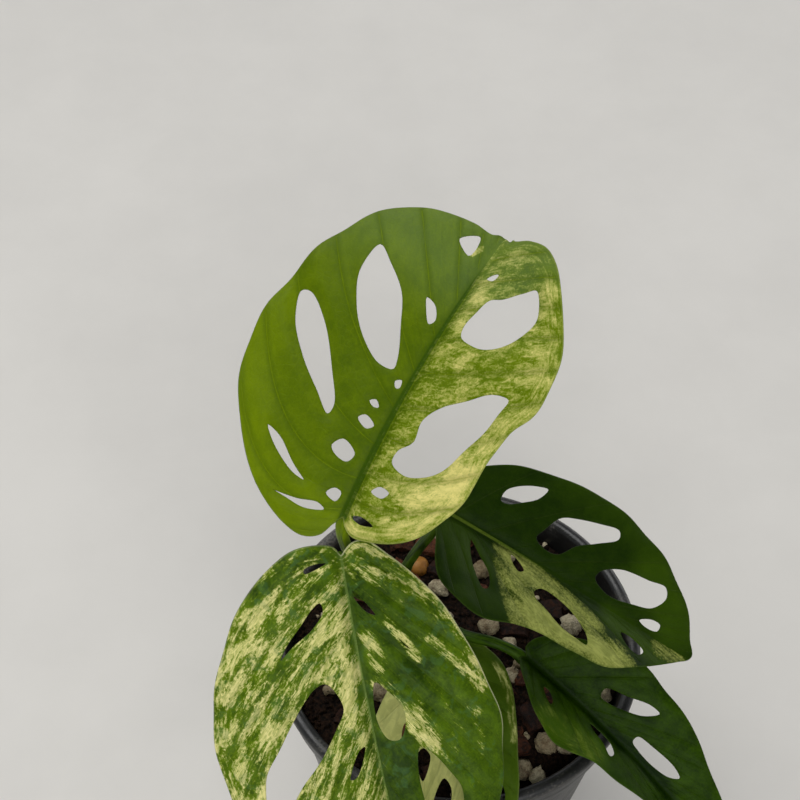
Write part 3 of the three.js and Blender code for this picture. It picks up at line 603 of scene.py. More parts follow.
class Shader(Tree):
    """A material's node tree, with the nodes that the finishes use."""

    def __init__(self, name):
        self.material = bpy.data.materials.new(name)
        self.material.use_nodes = True
        super().__init__(self.material.node_tree)
        self.node_tree.nodes.clear()
        self.place = self.node("ShaderNodeTexCoord", out="Object")

    def value(self, name):
        """A value that is kept per point on the mesh."""
        return self.node("ShaderNodeAttribute", {"attribute_name": name}, out="Fac")

    def mix(self, factor, first, second):
        return self.node("ShaderNodeMix", {"data_type": "RGBA"}, {0: factor, 6: first, 7: second}, out=2)

    def layers(self, base, *pairs):
        """Lays colours over the base one after another, each given as its amount and itself."""
        for amount, tint in pairs:
            base = self.mix(amount, base, tint)
        return base

    def clamp(self, value):
        return self.node("ShaderNodeClamp", None, (value,))

    def vector(self, x, y, z):
        return self.node("ShaderNodeCombineXYZ", None, (x, y, z))

    def height(self):
        return self.node("ShaderNodeSeparateXYZ", None, (self.place,), out=2)

    def scaled_place(self, *scale):
        return self.node("ShaderNodeMapping", None, {"Vector": self.place, "Scale": scale})

    def noise(self, vector, scale, detail=2.0, roughness=0.5, distortion=0.0):
        inputs = {"Vector": vector, "Scale": scale, "Detail": detail, "Roughness": roughness,
                  "Distortion": distortion}
        return self.node("ShaderNodeTexNoise", None, inputs)

    def cells(self, vector, scale, feature="F1"):
        inputs = {"Vector": vector, "Scale": scale}
        return self.node("ShaderNodeTexVoronoi", {"feature": feature}, inputs, "Distance")

    def bump(self, height, distance, strength=1.0):
        inputs = {"Height": height, "Distance": distance, "Strength": strength}
        return self.node("ShaderNodeBump", None, inputs)

    def surface(self, base, roughness, normal, specular=0.5):
        inputs = {"Base Color": base, "Roughness": roughness, "Normal": normal,
                  "Specular IOR Level": specular}
        return self.node("ShaderNodeBsdfPrincipled", None, inputs)

    def finish(self, shader):
        self.node("ShaderNodeOutputMaterial", None, (shader,))
        return self.material


# Finishes. Each row has one value for each leaf, in the order of LEAVES.

LEAF_COLOURS = {
    "dark": ((64, 88, 0), (38, 62, 2), (12, 34, 0), (16, 38, 0), (46, 74, 0)),
    "light": ((122, 144, 0), (100, 132, 14), (84, 116, 12), (66, 98, 2), (92, 120, 18)),
    "fresh": ((130, 152, 4), (126, 150, 22), (96, 110, 34), (92, 114, 26), (124, 138, 52)),
    "glow": ((130, 160, 0), (100, 136, 0), (50, 84, 0), (64, 96, 0), (100, 132, 4)),
    "cream": ((244, 232, 146), (244, 236, 160), (184, 190, 100), (118, 140, 50), (240, 240, 154)),
    "under": ((122, 148, 72), (110, 132, 66), (84, 108, 52), (84, 108, 52), (100, 124, 62)),
    "edge": ((168, 174, 92), (206, 206, 160), (84, 108, 40), (96, 118, 56), (140, 150, 86)),
    "rib": ((48, 76, 0), (104, 128, 54), (96, 116, 34), (26, 46, 2), (90, 108, 44)),
}

LEAF_LOOK = {
    # The cream streaks: how soft their edges are, how fine they lie along and across the side veins,
    # how wavy, clumped and grainy they are, and how far green shows through them
    "softness": (2.3, 0.62, 2.4, 1.6, 1.6),
    "streaks": ((0.42, 7.5), (0.5, 9), (0.55, 5), (0.35, 4), (0.35, 4)),
    "wave": (0.9, 1.3, 0.9, 0.6, 0.6),
    "clumps": (0.25, 0.5, 0.4, 0.3, 0.3),
    "grain": (0.2, 0.2, 0.42, 0.1, 0.1),
    "thin": (0.2, 0.6, 0.5, 0.4, 0.3),
    # How mottled the green is, how strong its grey-green patches of painted sheen are, and how strong the
    # bloom near the tip is, which is partly painted sheen
    "mottle": (0.4, 0.85, 0.14, 0.7, 0.5),
    "grey_sheen": (0.0, 0.6, 0.0, 0.0, 0.0),
    "tip_bloom_and_sheen": (0.1, 0.0, 0.0, 0.0, 0.0),
    # How clearly the side veins show, how much the blade quilts between them and how glossy it is
    "veins": (0.34, 0.08, 0.05, 0.04, 0.06),
    "quilt": (1.0, 1.0, 0.4, 0.4, 0.6),
    "gloss": (0.4, 0.5, 0.3, 0.36, 0.6),
    # The midrib: its half width, how dark the painted shade in the valley beside it is, and where its colour
    # fades
    "rib": (1.05, 0.32, 0.5, 0.5, 0.5),
    "valley": (0.55, 0.42, 0.5, 0.55, 0.4),
    "rib_end": ((0.8, 0.95), (2, 3), (0.2, 0.45), (2, 3), (2, 3)),
    # The pale line round the left and right half, and where along the length it fades
    "edge": ((0.1, 0.5), (0.8, 0.2), (0.3, 0.3), (0.2, 0.2), (0.3, 0.3)),
    "edge_end": ((2, 3), (0.42, 0.52), (2, 3), (2, 3), (2, 3)),
}


def blade_material(name, settings):
    """Green with cream streaks along the side veins, fine net veins, and light through the leaf."""
    s = Shader(name + "_surface")
    hues, look = leaf_hues(name), leaf_values(LEAF_LOOK, name)
    length = seed = LEAVES[name]["length"]
    across, along, vein, vein_gap = (s.value(key) for key in ("across", "along", "vein", "vein_gap"))
    margin, cream, light, upper = (s.value(key) for key in ("margin", "cream", "light", "upper"))
    out = abs(across)

    def flat_noise(scale, shift, *details):
        """Noise on the flat leaf, shifted so that no two of them are alike."""
        return s.noise(s.vector(across, along, seed + shift), scale, *details)

    def vein_noise(fine, shift, *details):
        """Noise drawn out along the side veins: slow along a vein and quick across it."""
        place = s.vector(across * fine[0], vein * fine[1], seed + shift)
        return s.noise(place, 1.0, *details)

    # Cream streaks, yellow-green at their edges and where green shows through from a deeper layer
    (fine_out, fine_up), wave = look["streaks"], look["wave"]
    streak = vein_noise((fine_out, fine_up), 0, 5.0, 0.66, wave)
    other = vein_noise((1.3 * fine_out, 1.3 * fine_up), 13, 4.0, 0.6, wave)
    cluster = vein_noise((0.4 * fine_out, 0.27 * fine_up), 5, 2.0, 0.5, 0.5)
    fleck = flat_noise(1.9, 9, 2.0, 0.55, 0.5)
    by_rim = s.noise(s.vector(along * 0.8 * fine_out, margin * 1.5, seed + 3), 1.0, 4.0, 0.6, 0.6)
    near_rim = margin.fade(2.5, 6.0) * 0.8
    streak = streak * (1 - near_rim) + by_rim * near_rim
    grain, clumps, soft = look["grain"], look["clumps"], look["softness"]
    own = 0.7 - grain
    spread = 0.1 * math.sqrt(own ** 2 + clumps ** 2 + grain ** 2)
    wander = (streak - 0.5) * own + (cluster - 0.5) * clumps + (fleck - 0.5) * grain
    field = wander / spread + cream
    is_cream = field.step(-soft, soft)
    is_fresh = field.step(-0.9 - soft, 0.1)
    is_thin = other.step(0.4, 0.6)
    # Where grey-green patches of painted sheen lie
    is_grey_sheen = flat_noise(0.28, 21, 3.0, 0.55, 0.8).step(0.54, 0.64)

    # Green tissue, mottled, with grey-green patches of painted sheen and a pale bloom near the tip that is
    # partly painted sheen
    patchy = s.noise(s.vector(across * 0.5, along * 0.5, seed), 0.4, 3.0, 0.6, 0.4)
    mottle = (patchy - 0.5) * 1.8 + (other - 0.5) * 0.6 + (fleck - 0.5) * 0.9
    share = along / length
    tissue = s.layers(
        hues["dark"],
        (s.clamp(light + mottle * look["mottle"]), hues["light"]),
        (is_fresh * 0.85, hues["fresh"]),
        (is_cream * (1.0 - is_thin * look["thin"]), hues["cream"]),
        # grey-green patches of painted sheen
        (is_grey_sheen * look["grey_sheen"] * 0.6, colour(78, 118, 66)),
        # a pale bloom near the tip, partly painted sheen
        (share.step(0.62, 0.86) * across.fade(16, 28) * look["tip_bloom_and_sheen"], colour(150, 176, 150)),
    )

    # Fine net of veins, side veins with painted shade beside them and a half vein between them, midrib with
    # painted shade beside it and a painted highlight along its right edge, and rim
    net = s.cells(s.vector(across * 0.62, along * 0.62, seed), 1.0, "DISTANCE_TO_EDGE")
    net_line = net.fade(0.0, 0.12)
    clarity = look["veins"] * (0.45 + patchy.step(0.35, 0.6) * 0.55)
    from_vein = vein.off_whole() * vein_gap
    from_half = (vein + 0.5).off_whole() * vein_gap
    side_line = from_vein.fade(0.04, 0.24) * out.step(0.5, 1.4) * margin.step(0.2, 1.2)
    # painted shade beside the side veins
    side_shade = from_vein.fade(0.2, 1.4) * out.step(0.5, 2.0)
    half_line = from_half.fade(0.04, 0.24) * out.step(0.6, 1.6) * out.fade(8, 20)
    rib_width = look["rib"] - along * (0.6 * look["rib"] / length)
    rib_kept = share.fade(*look["rib_end"])
    rib_line = (out / rib_width).fade(0.7, 1.15) * rib_kept
    # painted highlight along the midrib's right edge
    rib_highlight = abs(across - rib_width * 1.2).fade(0.0, 0.3) * rib_kept
    # painted shade in the valley beside the midrib, darker on its left
    rib_shade = (out - across * 0.25).fade(0.4, 2.6) * rib_kept
    left_edge, right_edge = look["edge"]
    edge_line = margin.fade(0.05, 0.32) * (left_edge + across.step(-1, 1) * (right_edge - left_edge))
    veined = s.layers(
        tissue,
        # painted shade beside the side veins
        (side_shade * clarity * 1.3, hues["dark"]),
        (side_line * clarity * 1.4, hues["fresh"]),
        (net_line * clarity * 0.35, hues["fresh"]),
        # painted shade beside the midrib
        (rib_shade * look["valley"], hues["dark"]),
        # painted highlight along the midrib's right edge
        (rib_highlight * look["veins"], hues["fresh"]),
        (rib_line * (0.75 + (fleck - 0.5) * 0.8), hues["rib"]),
        (edge_line * share.fade(*look["edge_end"]), hues["edge"]),
    )
    base = s.mix(upper, s.mix(0.6, veined, hues["under"]), veined)

    skin_grain = flat_noise(5.0, 0, 3.0, 0.6)
    height = skin_grain * 0.04 - net_line * 0.03 - half_line * 0.07 - side_line * 0.12
    roughness = settings.roughness + (skin_grain - 0.5) * 0.16 + is_cream * 0.05
    skin = s.surface(base, roughness, s.bump(height, 0.001, 0.8), settings.gloss * look["gloss"])
    through_green, through_cream = (
        s.node("ShaderNodeBsdfTranslucent", None, {"Color": hues[key]}) for key in ("glow", "cream"))
    through = s.node("ShaderNodeMixShader", None, (is_cream, through_green, through_cream))
    return s.finish(s.node("ShaderNodeMixShader", None, (settings.translucency, skin, through)))


def petiole_material(name, settings):
    """A smooth green stalk with pale lengthwise streaks."""
    s = Shader(name + "_petiole")
    hues = leaf_hues(name)
    turn, reach = s.value("across"), s.value("along")
    streak = s.noise(s.vector(turn * 2.4, reach * 0.12, 3.0), 1.0, 3.0, 0.6)
    spots = s.noise(s.place, 900.0, 2.0)
    base = s.layers(
        hues["dark"],
        (streak.step(0.3, 0.7) * 0.7, hues["light"]),
        (spots.step(0.55, 0.8) * 0.2, hues["fresh"]),
    )
    normal = s.bump(streak * 0.3 + spots * 0.1, 0.0003)
    return s.finish(s.surface(base, 0.42 + spots * 0.1, normal, 0.6 * settings.gloss))


def stem_material():
    """Green stem with brown rings and dry scars."""
    s = Shader("stem_surface")
    streak = s.noise(s.place, 400.0, 4.0, 0.6)
    ring = s.value("ring")
    base = s.layers(
        colour(62, 84, 26),
        (streak.step(0.35, 0.65), colour(104, 126, 52)),
        (ring.step(0.3, 0.9) * 0.8, colour(112, 88, 52)),
        ((s.height() / MM).fade(82, 92) * 0.6, colour(78, 62, 38)),
    )
    normal = s.bump(streak * 0.6 + ring * 0.2, 0.0006)
    return s.finish(s.surface(base, 0.5 + streak * 0.2, normal))


def pot_material(settings):
    """Thin black plastic with a satin sheen, faint scuffs and a pale rim, which is partly dust and partly
    painted highlight.
    """
    s = Shader("pot_plastic")
    height = s.height() / MM
    fine = s.noise(s.place, 1400.0, 3.0, 0.6)
    smear = s.noise(s.place, 55.0, 4.0, 0.6, 0.6)
    dust_and_highlight = (smear * 0.6 + fine * 0.4).step(0.46, 0.68)
    # The rim is paler: partly dust, partly painted highlight
    rim_highlight_and_dust = height.step(84, 87.5)
    low = height.fade(2, 20)
    dust_and_rim_highlight = (dust_and_highlight * (0.1 + rim_highlight_and_dust * 0.7 + low * 0.3)).least(1.0)
    base = s.mix(dust_and_rim_highlight, settings.colour, settings.dust_and_highlight)
    scuff = s.noise(s.scaled_place(160, 160, 900), 1.0, 4.0)
    roughness = 0.34 + dust_and_rim_highlight * 0.35 + scuff.step(0.45, 0.7) * 0.16
    return s.finish(s.surface(base, roughness, s.bump(fine * 0.5 + scuff * 0.4, 0.0002, 0.5)))


def bed_material():
    """Dark compost between the chips, made near-black as partly painted shade of the gaps between them."""
    s = Shader("soil_bed")
    crumb = s.noise(s.place, 900.0, 5.0, 0.65)
    patch = s.noise(s.place, 120.0, 3.0)
    base = s.layers(
        # near-black base, partly painted shade of the gaps between the chips
        colour(11, 8, 6),
        (crumb.step(0.35, 0.7), colour(52, 35, 24)),
        (patch.step(0.5, 0.7) * 0.5, colour(22, 15, 11)),
    )
    return s.finish(s.surface(base, 0.85, s.bump(crumb, 0.0012), 0.12))


def bark_material():
    """Red-brown bark in layers, damp in places."""
    s = Shader("soil_bark")
    tone = s.value("tone")
    layer = s.noise(s.scaled_place(420, 420, 1100), 1.0, 4.0, 0.62, 0.5)
    fine = s.noise(s.place, 2200.0, 3.0, 0.6)
    base = s.layers(
        colour(26, 13, 7),
        (layer.step(0.35, 0.68), colour(86, 46, 24)),
        (tone.step(0.7, 1.0) * 0.5, colour(112, 66, 40)),
        (tone.fade(0.1, 0.6) * 0.7, colour(14, 9, 6)),
    )
    return s.finish(s.surface(base, 0.62 + fine * 0.3, s.bump(layer * 0.8 + fine * 0.3, 0.0008), 0.22))


def perlite_material():
    """Chalky white grains with fine pores and a dusting of soil."""
    s = Shader("soil_perlite")
    pore = s.cells(s.place, 1900.0)
    stain = s.noise(s.place, 420.0, 4.0, 0.6)
    base = s.layers(
        colour(138, 124, 96),
        (s.value("tone"), colour(198, 187, 158)),
        (stain.step(0.42, 0.7) * 0.75, colour(92, 72, 50)),
        (pore.fade(0.1, 0.35) * 0.3, colour(110, 98, 80)),
    )
    return s.finish(s.surface(base, 0.9, s.bump(pore * 0.6 + stain * 0.5, 0.0005), 0.2))


def pebble_material():
    """A waxy orange-yellow fertiliser bead."""
    s = Shader("soil_pebble")
    stain = s.noise(s.place, 500.0, 3.0)
    base = s.mix(stain, colour(116, 70, 14), colour(176, 120, 38))
    return s.finish(s.surface(base, 0.45 + stain * 0.2, s.bump(stain, 0.0004)))


def floor_material(settings):
    """A plain pale surface with faint cloudy marks."""
    s = Shader("floor_surface")
    broad = s.noise(s.place, 4.0, 3.0, 0.55)
    small = s.noise(s.place, 30.0, 4.0, 0.6)
    pale = settings.floor_colour
    deep = tuple(0.93 * v for v in pale[:3]) + (1.0,)
    base = s.mix((broad * 0.7 + small * 0.3).step(0.35, 0.65), deep, tuple(pale))
    return s.finish(s.surface(base, 0.85, s.bump(small, 0.0005, 0.3), 0.2))


# Leaves


def midrib_frame(leaf, y):
    """Unit directions along the midrib, across the blade and out of it, at each distance y."""
    share = np.asarray(y) / leaf["length"]
    heading = np.radians(leaf["heading"] + leaf["turn"] * share)
    rise = np.radians(leaf["rise"] + leaf["bend"] * share)
    roll = math.radians(leaf["roll"])
    along = np.stack([np.cos(rise) * np.cos(heading), np.cos(rise) * np.sin(heading), np.sin(rise)], -1)
    level = np.stack([np.sin(heading), -np.cos(heading), 0 * heading], -1)
    up = np.cross(level, along)
    across = level * math.cos(roll) + up * math.sin(roll)
    out = up * math.cos(roll) - level * math.sin(roll)
    return along, across, out


def midrib_point(leaf, y):
    """The midrib's place at distance y, by Simpson's rule on its direction."""
    y = np.asarray(y, float)
    weights = np.array([1, 4, 2, 4, 2, 4, 2, 4, 2, 4, 2, 4, 1], float)
    steps = len(weights) - 1
    along = midrib_frame(leaf, y[..., None] * np.arange(steps + 1) / steps)[0]
    total = (along * weights[:, None]).sum(-2)
    return np.array(leaf["base"]) + total * (y / steps / 3)[..., None]


def blade_point(leaf, x, y):
    """Across the blade each half is an arc that leaves the midrib at its fold angle."""
    along, across, out = midrib_frame(leaf, y)
    right = x >= 0
    fold = np.radians(np.where(right, leaf["fold_right"], leaf["fold_left"]))
    curl = np.radians(np.where(right, leaf["curl_right"], leaf["curl_left"])) / CURL_SPAN
    reach = np.abs(x)
    side = (np.sin(fold + curl * reach) - np.sin(fold)) / curl
    lift = (np.cos(fold) - np.cos(fold + curl * reach)) / curl
    place = midrib_point(leaf, y) + across * (np.where(right, side, -side))[:, None] + out * lift[:, None]
    tip = leaf.get("tip_curl")
    if tip:
        beyond = np.maximum(y - tip["start"], 0)
        angle = beyond / tip["radius"]
        share = 1 - smooth_step(reach, tip["half_width"], 2 * tip["half_width"])
        place += along * (share * (tip["radius"] * np.sin(angle) - beyond))[:, None]
        place -= out * (share * tip["radius"] * (1 - np.cos(angle)))[:, None]
    return place


def blade_normal(leaf, x, y):
    """The blade's outward direction, from points a short step away on each side."""
    step = 0.4
    across = blade_point(leaf, x + step, y) - blade_point(leaf, x - step, y)
    along = blade_point(leaf, x, y + step) - blade_point(leaf, x, y - step)
    normal = np.cross(across, along)
    return normal / np.linalg.norm(normal, axis=1)[:, None]


def vein_values(veins, x, y):
    """A count of side veins from the base, the gap between them, and the distance to the next one."""
    count, gap, distance = (np.zeros(len(x)) for _ in range(3))
    for half, there in (("left", x < 0), ("right", x >= 0)):
        shape = veins[half]
        (slope, slope_gain), (bow, bow_gain) = shape["slope"], shape["bow"]
        u, v = np.abs(x[there]), y[there]
        spread = 1 + slope_gain * u + bow_gain * u * u
        start = (v - slope * u - bow * u * u) / spread
        starts = np.array(shape["starts"], float)
        first, last = starts[1] - starts[0], starts[-1] - starts[-2]
        starts = np.concatenate([[starts[0] - 4 * first], starts, [starts[-1] + 4 * last]])
        number = np.arange(len(starts), dtype=float)
        number[0], number[-1] = -3, number[-1] + 3
        count[there] = np.interp(start, starts, number)
        steepness = slope + slope_gain * start + 2 * u * (bow + bow_gain * start)
        slant = np.sqrt(1 + steepness * steepness)
        spacing = np.interp(start, starts, np.gradient(starts, number))
        gap[there] = spacing * spread / slant
        distance[there] = np.abs(start[:, None] - starts[None]).min(1) * spread / slant
    return count, gap, distance


def brushed(x, y, base, strokes, divided=False):
    """Soft strokes painted over each other on the flat leaf. base is for its left and right half.

    Where the midrib divides the colours, a stroke stays on the half where it starts.
    """
    value = np.where(x < 0, base[0], base[1]).astype(float)
    for amount, radius, path in strokes:
        nearest_gap = np.full(len(x), np.inf)
        for (ax, ay), (bx, by) in zip(path, path[1:]):
            dx, dy = bx - ax, by - ay
            share = np.clip(((x - ax) * dx + (y - ay) * dy) / (dx * dx + dy * dy), 0, 1)
            gap = np.hypot(x - ax - share * dx, y - ay - share * dy)
            nearest_gap = np.minimum(nearest_gap, gap)
        cover = 1 - smooth_step(nearest_gap, 0.3 * radius, 1.6 * radius)
        if divided:
            cover *= smooth_step(x * math.copysign(1, path[0][0]), -0.4, 0.4)
        value += (amount - value) * cover
    return value


def streak_level(cover):
    """How far streak noise of unit spread has to be raised for that share of it to lie above 0."""
    least, none_at_all = 0.002, -6
    share = np.clip(cover, least, 1 - least)
    level = 0.61 * np.log(share / (1 - share))
    return np.where(cover <= least, none_at_all, level)


def lay_out_blade(leaf, spacing):
    """Flat points and triangles, with rows of points beside the midrib and all round the edges.

    Also gives each point's distance to the nearest rim, a hole's too, and to the outer rim.
    """
    def rounded(step):
        return [smooth_line(corners, step, closed=True) for corners in (leaf["outline"], *leaf["holes"])]

    loops, fine = rounded(spacing), rounded(spacing / 2)
    rims = np.vstack(fine)

    def on_blade(points):
        inside = is_inside(loops[0], points)
        for hole in loops[1:]:
            inside &= ~is_inside(hole, points)
        return inside

    beyond, half_width, strip_width = 8, 45, 1.5
    tall = leaf["length"] + beyond
    rows = [0, 0.3, -0.3, 0.6, -0.6, 1, -1, strip_width, -strip_width]
    down = np.arange(-beyond, tall, spacing)
    strips = [np.stack([np.full(len(down), row), down + 0.3 * spacing * (i % 2)], 1)
              for i, row in enumerate(rows)]
    step = spacing * math.sqrt(0.75)
    across = np.arange(-half_width, half_width, spacing)
    grid = np.vstack([
        np.stack([across + (i % 2) * spacing / 2, np.full(len(across), i * step - beyond)], 1)
        for i in range(int((tall + beyond) / step))])
    grid = grid[np.abs(grid[:, 0]) > strip_width + 0.6 * spacing]
    inner = np.vstack([*strips, grid])
    inner = inner[on_blade(inner)]
    inner = inner[nearest(inner, rims) > 0.5 * spacing]
    points = np.vstack([*loops, inner])
    edges = []
    first = 0
    for loop in loops:
        edges += [(first + i, first + (i + 1) % len(loop)) for i in range(len(loop))]
        first += len(loop)
    flat, _, triangles, *_ = delaunay_2d_cdt([Vector(p) for p in points], edges, [], 0, 1e-5, False)
    flat = np.array([tuple(p) for p in flat])
    triangles = np.array(triangles)
    triangles = triangles[on_blade(flat[triangles].mean(1))]
    corners = flat[triangles]
    turn = np.cross(corners[:, 1] - corners[:, 0], corners[:, 2] - corners[:, 0])
    has_area = np.abs(turn) > 1e-6
    triangles, turn = triangles[has_area], turn[has_area]
    triangles[turn < 0] = triangles[turn < 0][:, ::-1]
    used = np.unique(triangles)
    renumber = np.full(len(flat), -1)
    renumber[used] = np.arange(len(used))
    flat, triangles = flat[used], renumber[triangles]
    return flat, triangles, nearest(flat, rims), nearest(flat, fine[0])


def rim_edges(triangles):
    """The directed edges that only one triangle has."""
    edges = np.vstack([triangles[:, [0, 1]], triangles[:, [1, 2]], triangles[:, [2, 0]]]).tolist()
    there = {(a, b) for a, b in edges}
    return [(a, b) for a, b in edges if (b, a) not in there]


def blade_relief(leaf, look, x, y, count, distance, margin, settings):
    """Heights in millimetres: how far the blade swells, and its ribs on the upper and under side."""
    u = np.abs(x)
    taper = 1 - 0.75 * np.clip(y / leaf["length"], 0, 1)
    inner = smooth_step(margin, 0, 2.5)
    between = 0.5 - 0.5 * np.cos(2 * np.pi * count)
    swell = look["quilt"] * settings.quilt / MM * between * smooth_step(u, 1, 8) * inner
    drift = np.sin(0.21 * x + 0.13 * y + leaf["length"]) * np.cos(0.17 * y - 0.11 * x)
    swell = swell + 0.25 * drift * smooth_step(u, 2, 12)
    ripple = np.sin(0.42 * y + 0.15 * x) * np.exp(-margin / 5) * smooth_step(u, 8, 20)
    swell = swell + settings.ripple / MM * ripple
    side_vein = bell(distance, 0.42) * smooth_step(u, 0.8, 2.5) * inner
    side_vein *= 1 - 0.6 * smooth_step(u, 10, 30)
    valley, crest = bell(u, 1.9) * taper, bell(u, 0.42) * taper
    under_rib = bell(u, 0.75)
    depth = settings.vein_depth / MM
    upper = -depth * side_vein - 0.55 * valley + 0.3 * crest
    under = -1.1 * depth * side_vein - 0.35 * valley - 1.15 * under_rib * taper ** 1.5
    return swell, upper, under


def make_leaf(name, settings):
    """A blade with an upper and an under skin and a rounded rim, and its petiole."""
    leaf, pattern = LEAVES[name], PATTERNS[name]
    flat, triangles, margin, border = lay_out_blade(leaf, settings.spacing / MM)
    x, y = flat.T
    count, gap, distance = vein_values(pattern["veins"], x, y)
    look = leaf_values(LEAF_LOOK, name)
    swell, upper, under = blade_relief(leaf, look, x, y, count, distance, margin, settings)
    thin = settings.thickness / MM / 2
    half = thin * (0.5 + 0.5 * smooth_step(margin, 0, 1.6))
    middle, normal = blade_point(leaf, x, y), blade_normal(leaf, x, y)
    top = middle + normal * (swell + half + upper * smooth_step(margin, 0, 1))[:, None]
    bottom = middle + normal * (swell - half + under * smooth_step(margin, 0, 1))[:, None]

    rim = rim_edges(triangles)
    outward = np.zeros_like(flat)
    for a, b in rim:
        dx, dy = flat[b] - flat[a]
        push = np.array([dy, -dx]) / max(math.hypot(dx, dy), 1e-9)
        outward[a] += push
        outward[b] += push
    edge = np.array(sorted({a for a, _ in rim}))
    push = outward[edge] / np.maximum(np.linalg.norm(outward[edge], axis=1), 1e-9)[:, None]
    rounded = flat[edge] + 0.6 * thin * push
    brow = blade_point(leaf, *rounded.T) + normal[edge] * swell[edge][:, None]
    n = len(flat)
    brow_of = {int(a): 2 * n + i for i, a in enumerate(edge)}
    faces = [tuple(t) for t in triangles.tolist()]
    faces += [(c + n, b + n, a + n) for a, b, c in triangles.tolist()]
    for a, b in rim:
        faces += [(b, a, brow_of[a], brow_of[b]), (brow_of[b], brow_of[a], a + n, b + n)]

    stalk, stalk_faces, around, reach = make_petiole(leaf)
    first = 2 * n + len(edge)
    slots = np.concatenate([np.zeros(len(faces), int), np.ones(len(stalk_faces), int)])
    faces += [tuple(k + first for k in face) for face in stalk_faces]
    points = np.vstack([top, bottom, brow, stalk])
    materials = [blade_material(name, settings), petiole_material(name, settings)]
    piece = make_piece(name + "_blade_and_petiole", points, faces, materials, slots)

    def spread(values, on_stalk=0.0):
        """Flat values carried to both skins and the rim, and then the stalk's."""
        return np.concatenate([values, values, values[edge], np.broadcast_to(on_stalk, len(stalk))])

    add_values(
        piece,
        across=spread(x, around),
        along=spread(y, reach),
        vein=spread(count),
        vein_gap=spread(gap, 1.0),
        margin=spread(border, 5.0),
        cream=spread(streak_level(brushed(x, y, pattern["cream_base"], pattern["cream"], True)), -6),
        light=spread(brushed(x, y, pattern["light_base"], pattern["light"]), 0.5),
        upper=np.concatenate([np.ones(n), np.zeros(n), np.full(len(edge), 0.5), np.ones(len(stalk))]),
    )
    hand_over(piece, name)


def make_petiole(leaf):
    """The stalk: a sheathing foot, a grooved length, and a swollen knee that runs into the midrib.

    Gives its points and faces, and how far round and along the stalk each point lies.
    """
    knee_length = 0.16 * leaf["length"]
    on_rib = np.array([0.6, 0.05 * leaf["length"], knee_length])
    sunk = np.array([1.75, 1.6, 1.1])[:, None]
    rib = midrib_point(leaf, on_rib) - sunk * midrib_frame(leaf, on_rib)[2]
    line = smooth_line([*leaf["petiole"], *rib.tolist()], 0.9)
    reach = line_lengths(line)
    knee = reach[-1] - knee_length
    foot = np.maximum(0, 1 - reach / (0.4 * knee))
    radii = PETIOLE_RADIUS + (PETIOLE_FOOT_RADIUS - PETIOLE_RADIUS) * foot
    radii += (KNEE_RADIUS - PETIOLE_RADIUS) * bell(reach - knee, 3.2)
    radii *= 1 - 0.6 * smooth_step(reach, knee + 1, reach[-1])
    facing = midrib_frame(leaf, on_rib[0])[2]
    points, faces, angle = tube(line, radii, PETIOLE_SIDES, facing, groove=0.22)
    around = np.concatenate([np.tile(np.sin(angle), len(line)), [0, 0]])
    return points, faces, around, np.concatenate([np.repeat(reach, len(angle)), [0.0, reach[-1]]])


# Stem


def make_stem():
    """The short upright stem, with a ring and a dry sheath edge at each leaf joint."""
    line = smooth_line(STEM_LINE, 0.5)
    share = np.linspace(0, 1, len(line))
    ring = np.zeros(len(line))
    for at in STEM_RINGS:
        ring = np.maximum(ring, bell(share - at, 0.013))
    blunt = np.minimum(1, np.sqrt(np.maximum(0.02, (1 - share) / 0.08)))
    radii = STEM_RADIUS * blunt * (1 + 0.09 * ring)
    points, faces, angle = tube(line, radii, 40, (0.0, -1.0, 0.2), groove=0.06)
    wobble = 1 + 0.015 * np.sin(5 * np.tile(angle, len(line)) + np.repeat(share, len(angle)) * 14)
    centre = np.repeat(line, len(angle), axis=0)
    points[:-2] = centre + (points[:-2] - centre) * wobble[:, None]
    piece = make_piece("stem_rings", points, faces, [stem_material()])
    add_values(piece, ring=np.concatenate([np.repeat(ring, len(angle)), [0, 0]]))
    hand_over(piece, "stem")


# Pot


def wall_outer_at(z):
    """The outer radius of the pot's plain wall at height z."""
    return POT_BASE_RADIUS + (POT_LIP_INNER + POT_WALL - POT_BASE_RADIUS) * z / POT_HEIGHT


def pot_profile():
    """Radius and height from the middle of the underside, up the outside and down the inside."""
    band = POT_HEIGHT - POT_BAND_HEIGHT
    rim = POT_RIM_RADIUS
    foot = [(0, 0.9), (30.4, 0.9), (31.2, 0.2), (32, 0), (35, 0), (35.7, 0.3), (36, 1)]
    wall = []
    for z in (4, 10, 11.2, 11.7, 12.2, 30, 50, 68, band - 0.6):
        step = 0.35 if z in (11.2, 11.7) else 0.0
        wall.append((wall_outer_at(z) + step, z))
    lip = [(wall_outer_at(band) + 0.3, band), (rim - 1.9, band + 0.35), (rim - 1.6, band + 0.8),
           (rim - 1.5, band + 1.6), (rim - 1.12, POT_HEIGHT - 3.7), (rim - 0.9, POT_HEIGHT - 3.2),
           (rim - 0.2, POT_HEIGHT - 2.8), (rim, POT_HEIGHT - 2.4), (rim, POT_HEIGHT - 1.3),
           (rim - 0.25, POT_HEIGHT - 0.7), (rim - 0.8, POT_HEIGHT - 0.25), (rim - 1.6, POT_HEIGHT),
           (rim - 2.4, POT_HEIGHT - 0.1), (rim - 3.1, POT_HEIGHT - 0.45), (POT_LIP_INNER, POT_HEIGHT - 1.4)]
    inside = [(wall_outer_at(z) - POT_WALL, z) for z in (80, 60, 40, 20, 6)]
    inside += [(wall_outer_at(3) - POT_WALL - 0.4, POT_FLOOR + 0.3),
               (wall_outer_at(2.4) - POT_WALL - 1, POT_FLOOR), (0, POT_FLOOR)]
    return foot + wall + lip + inside


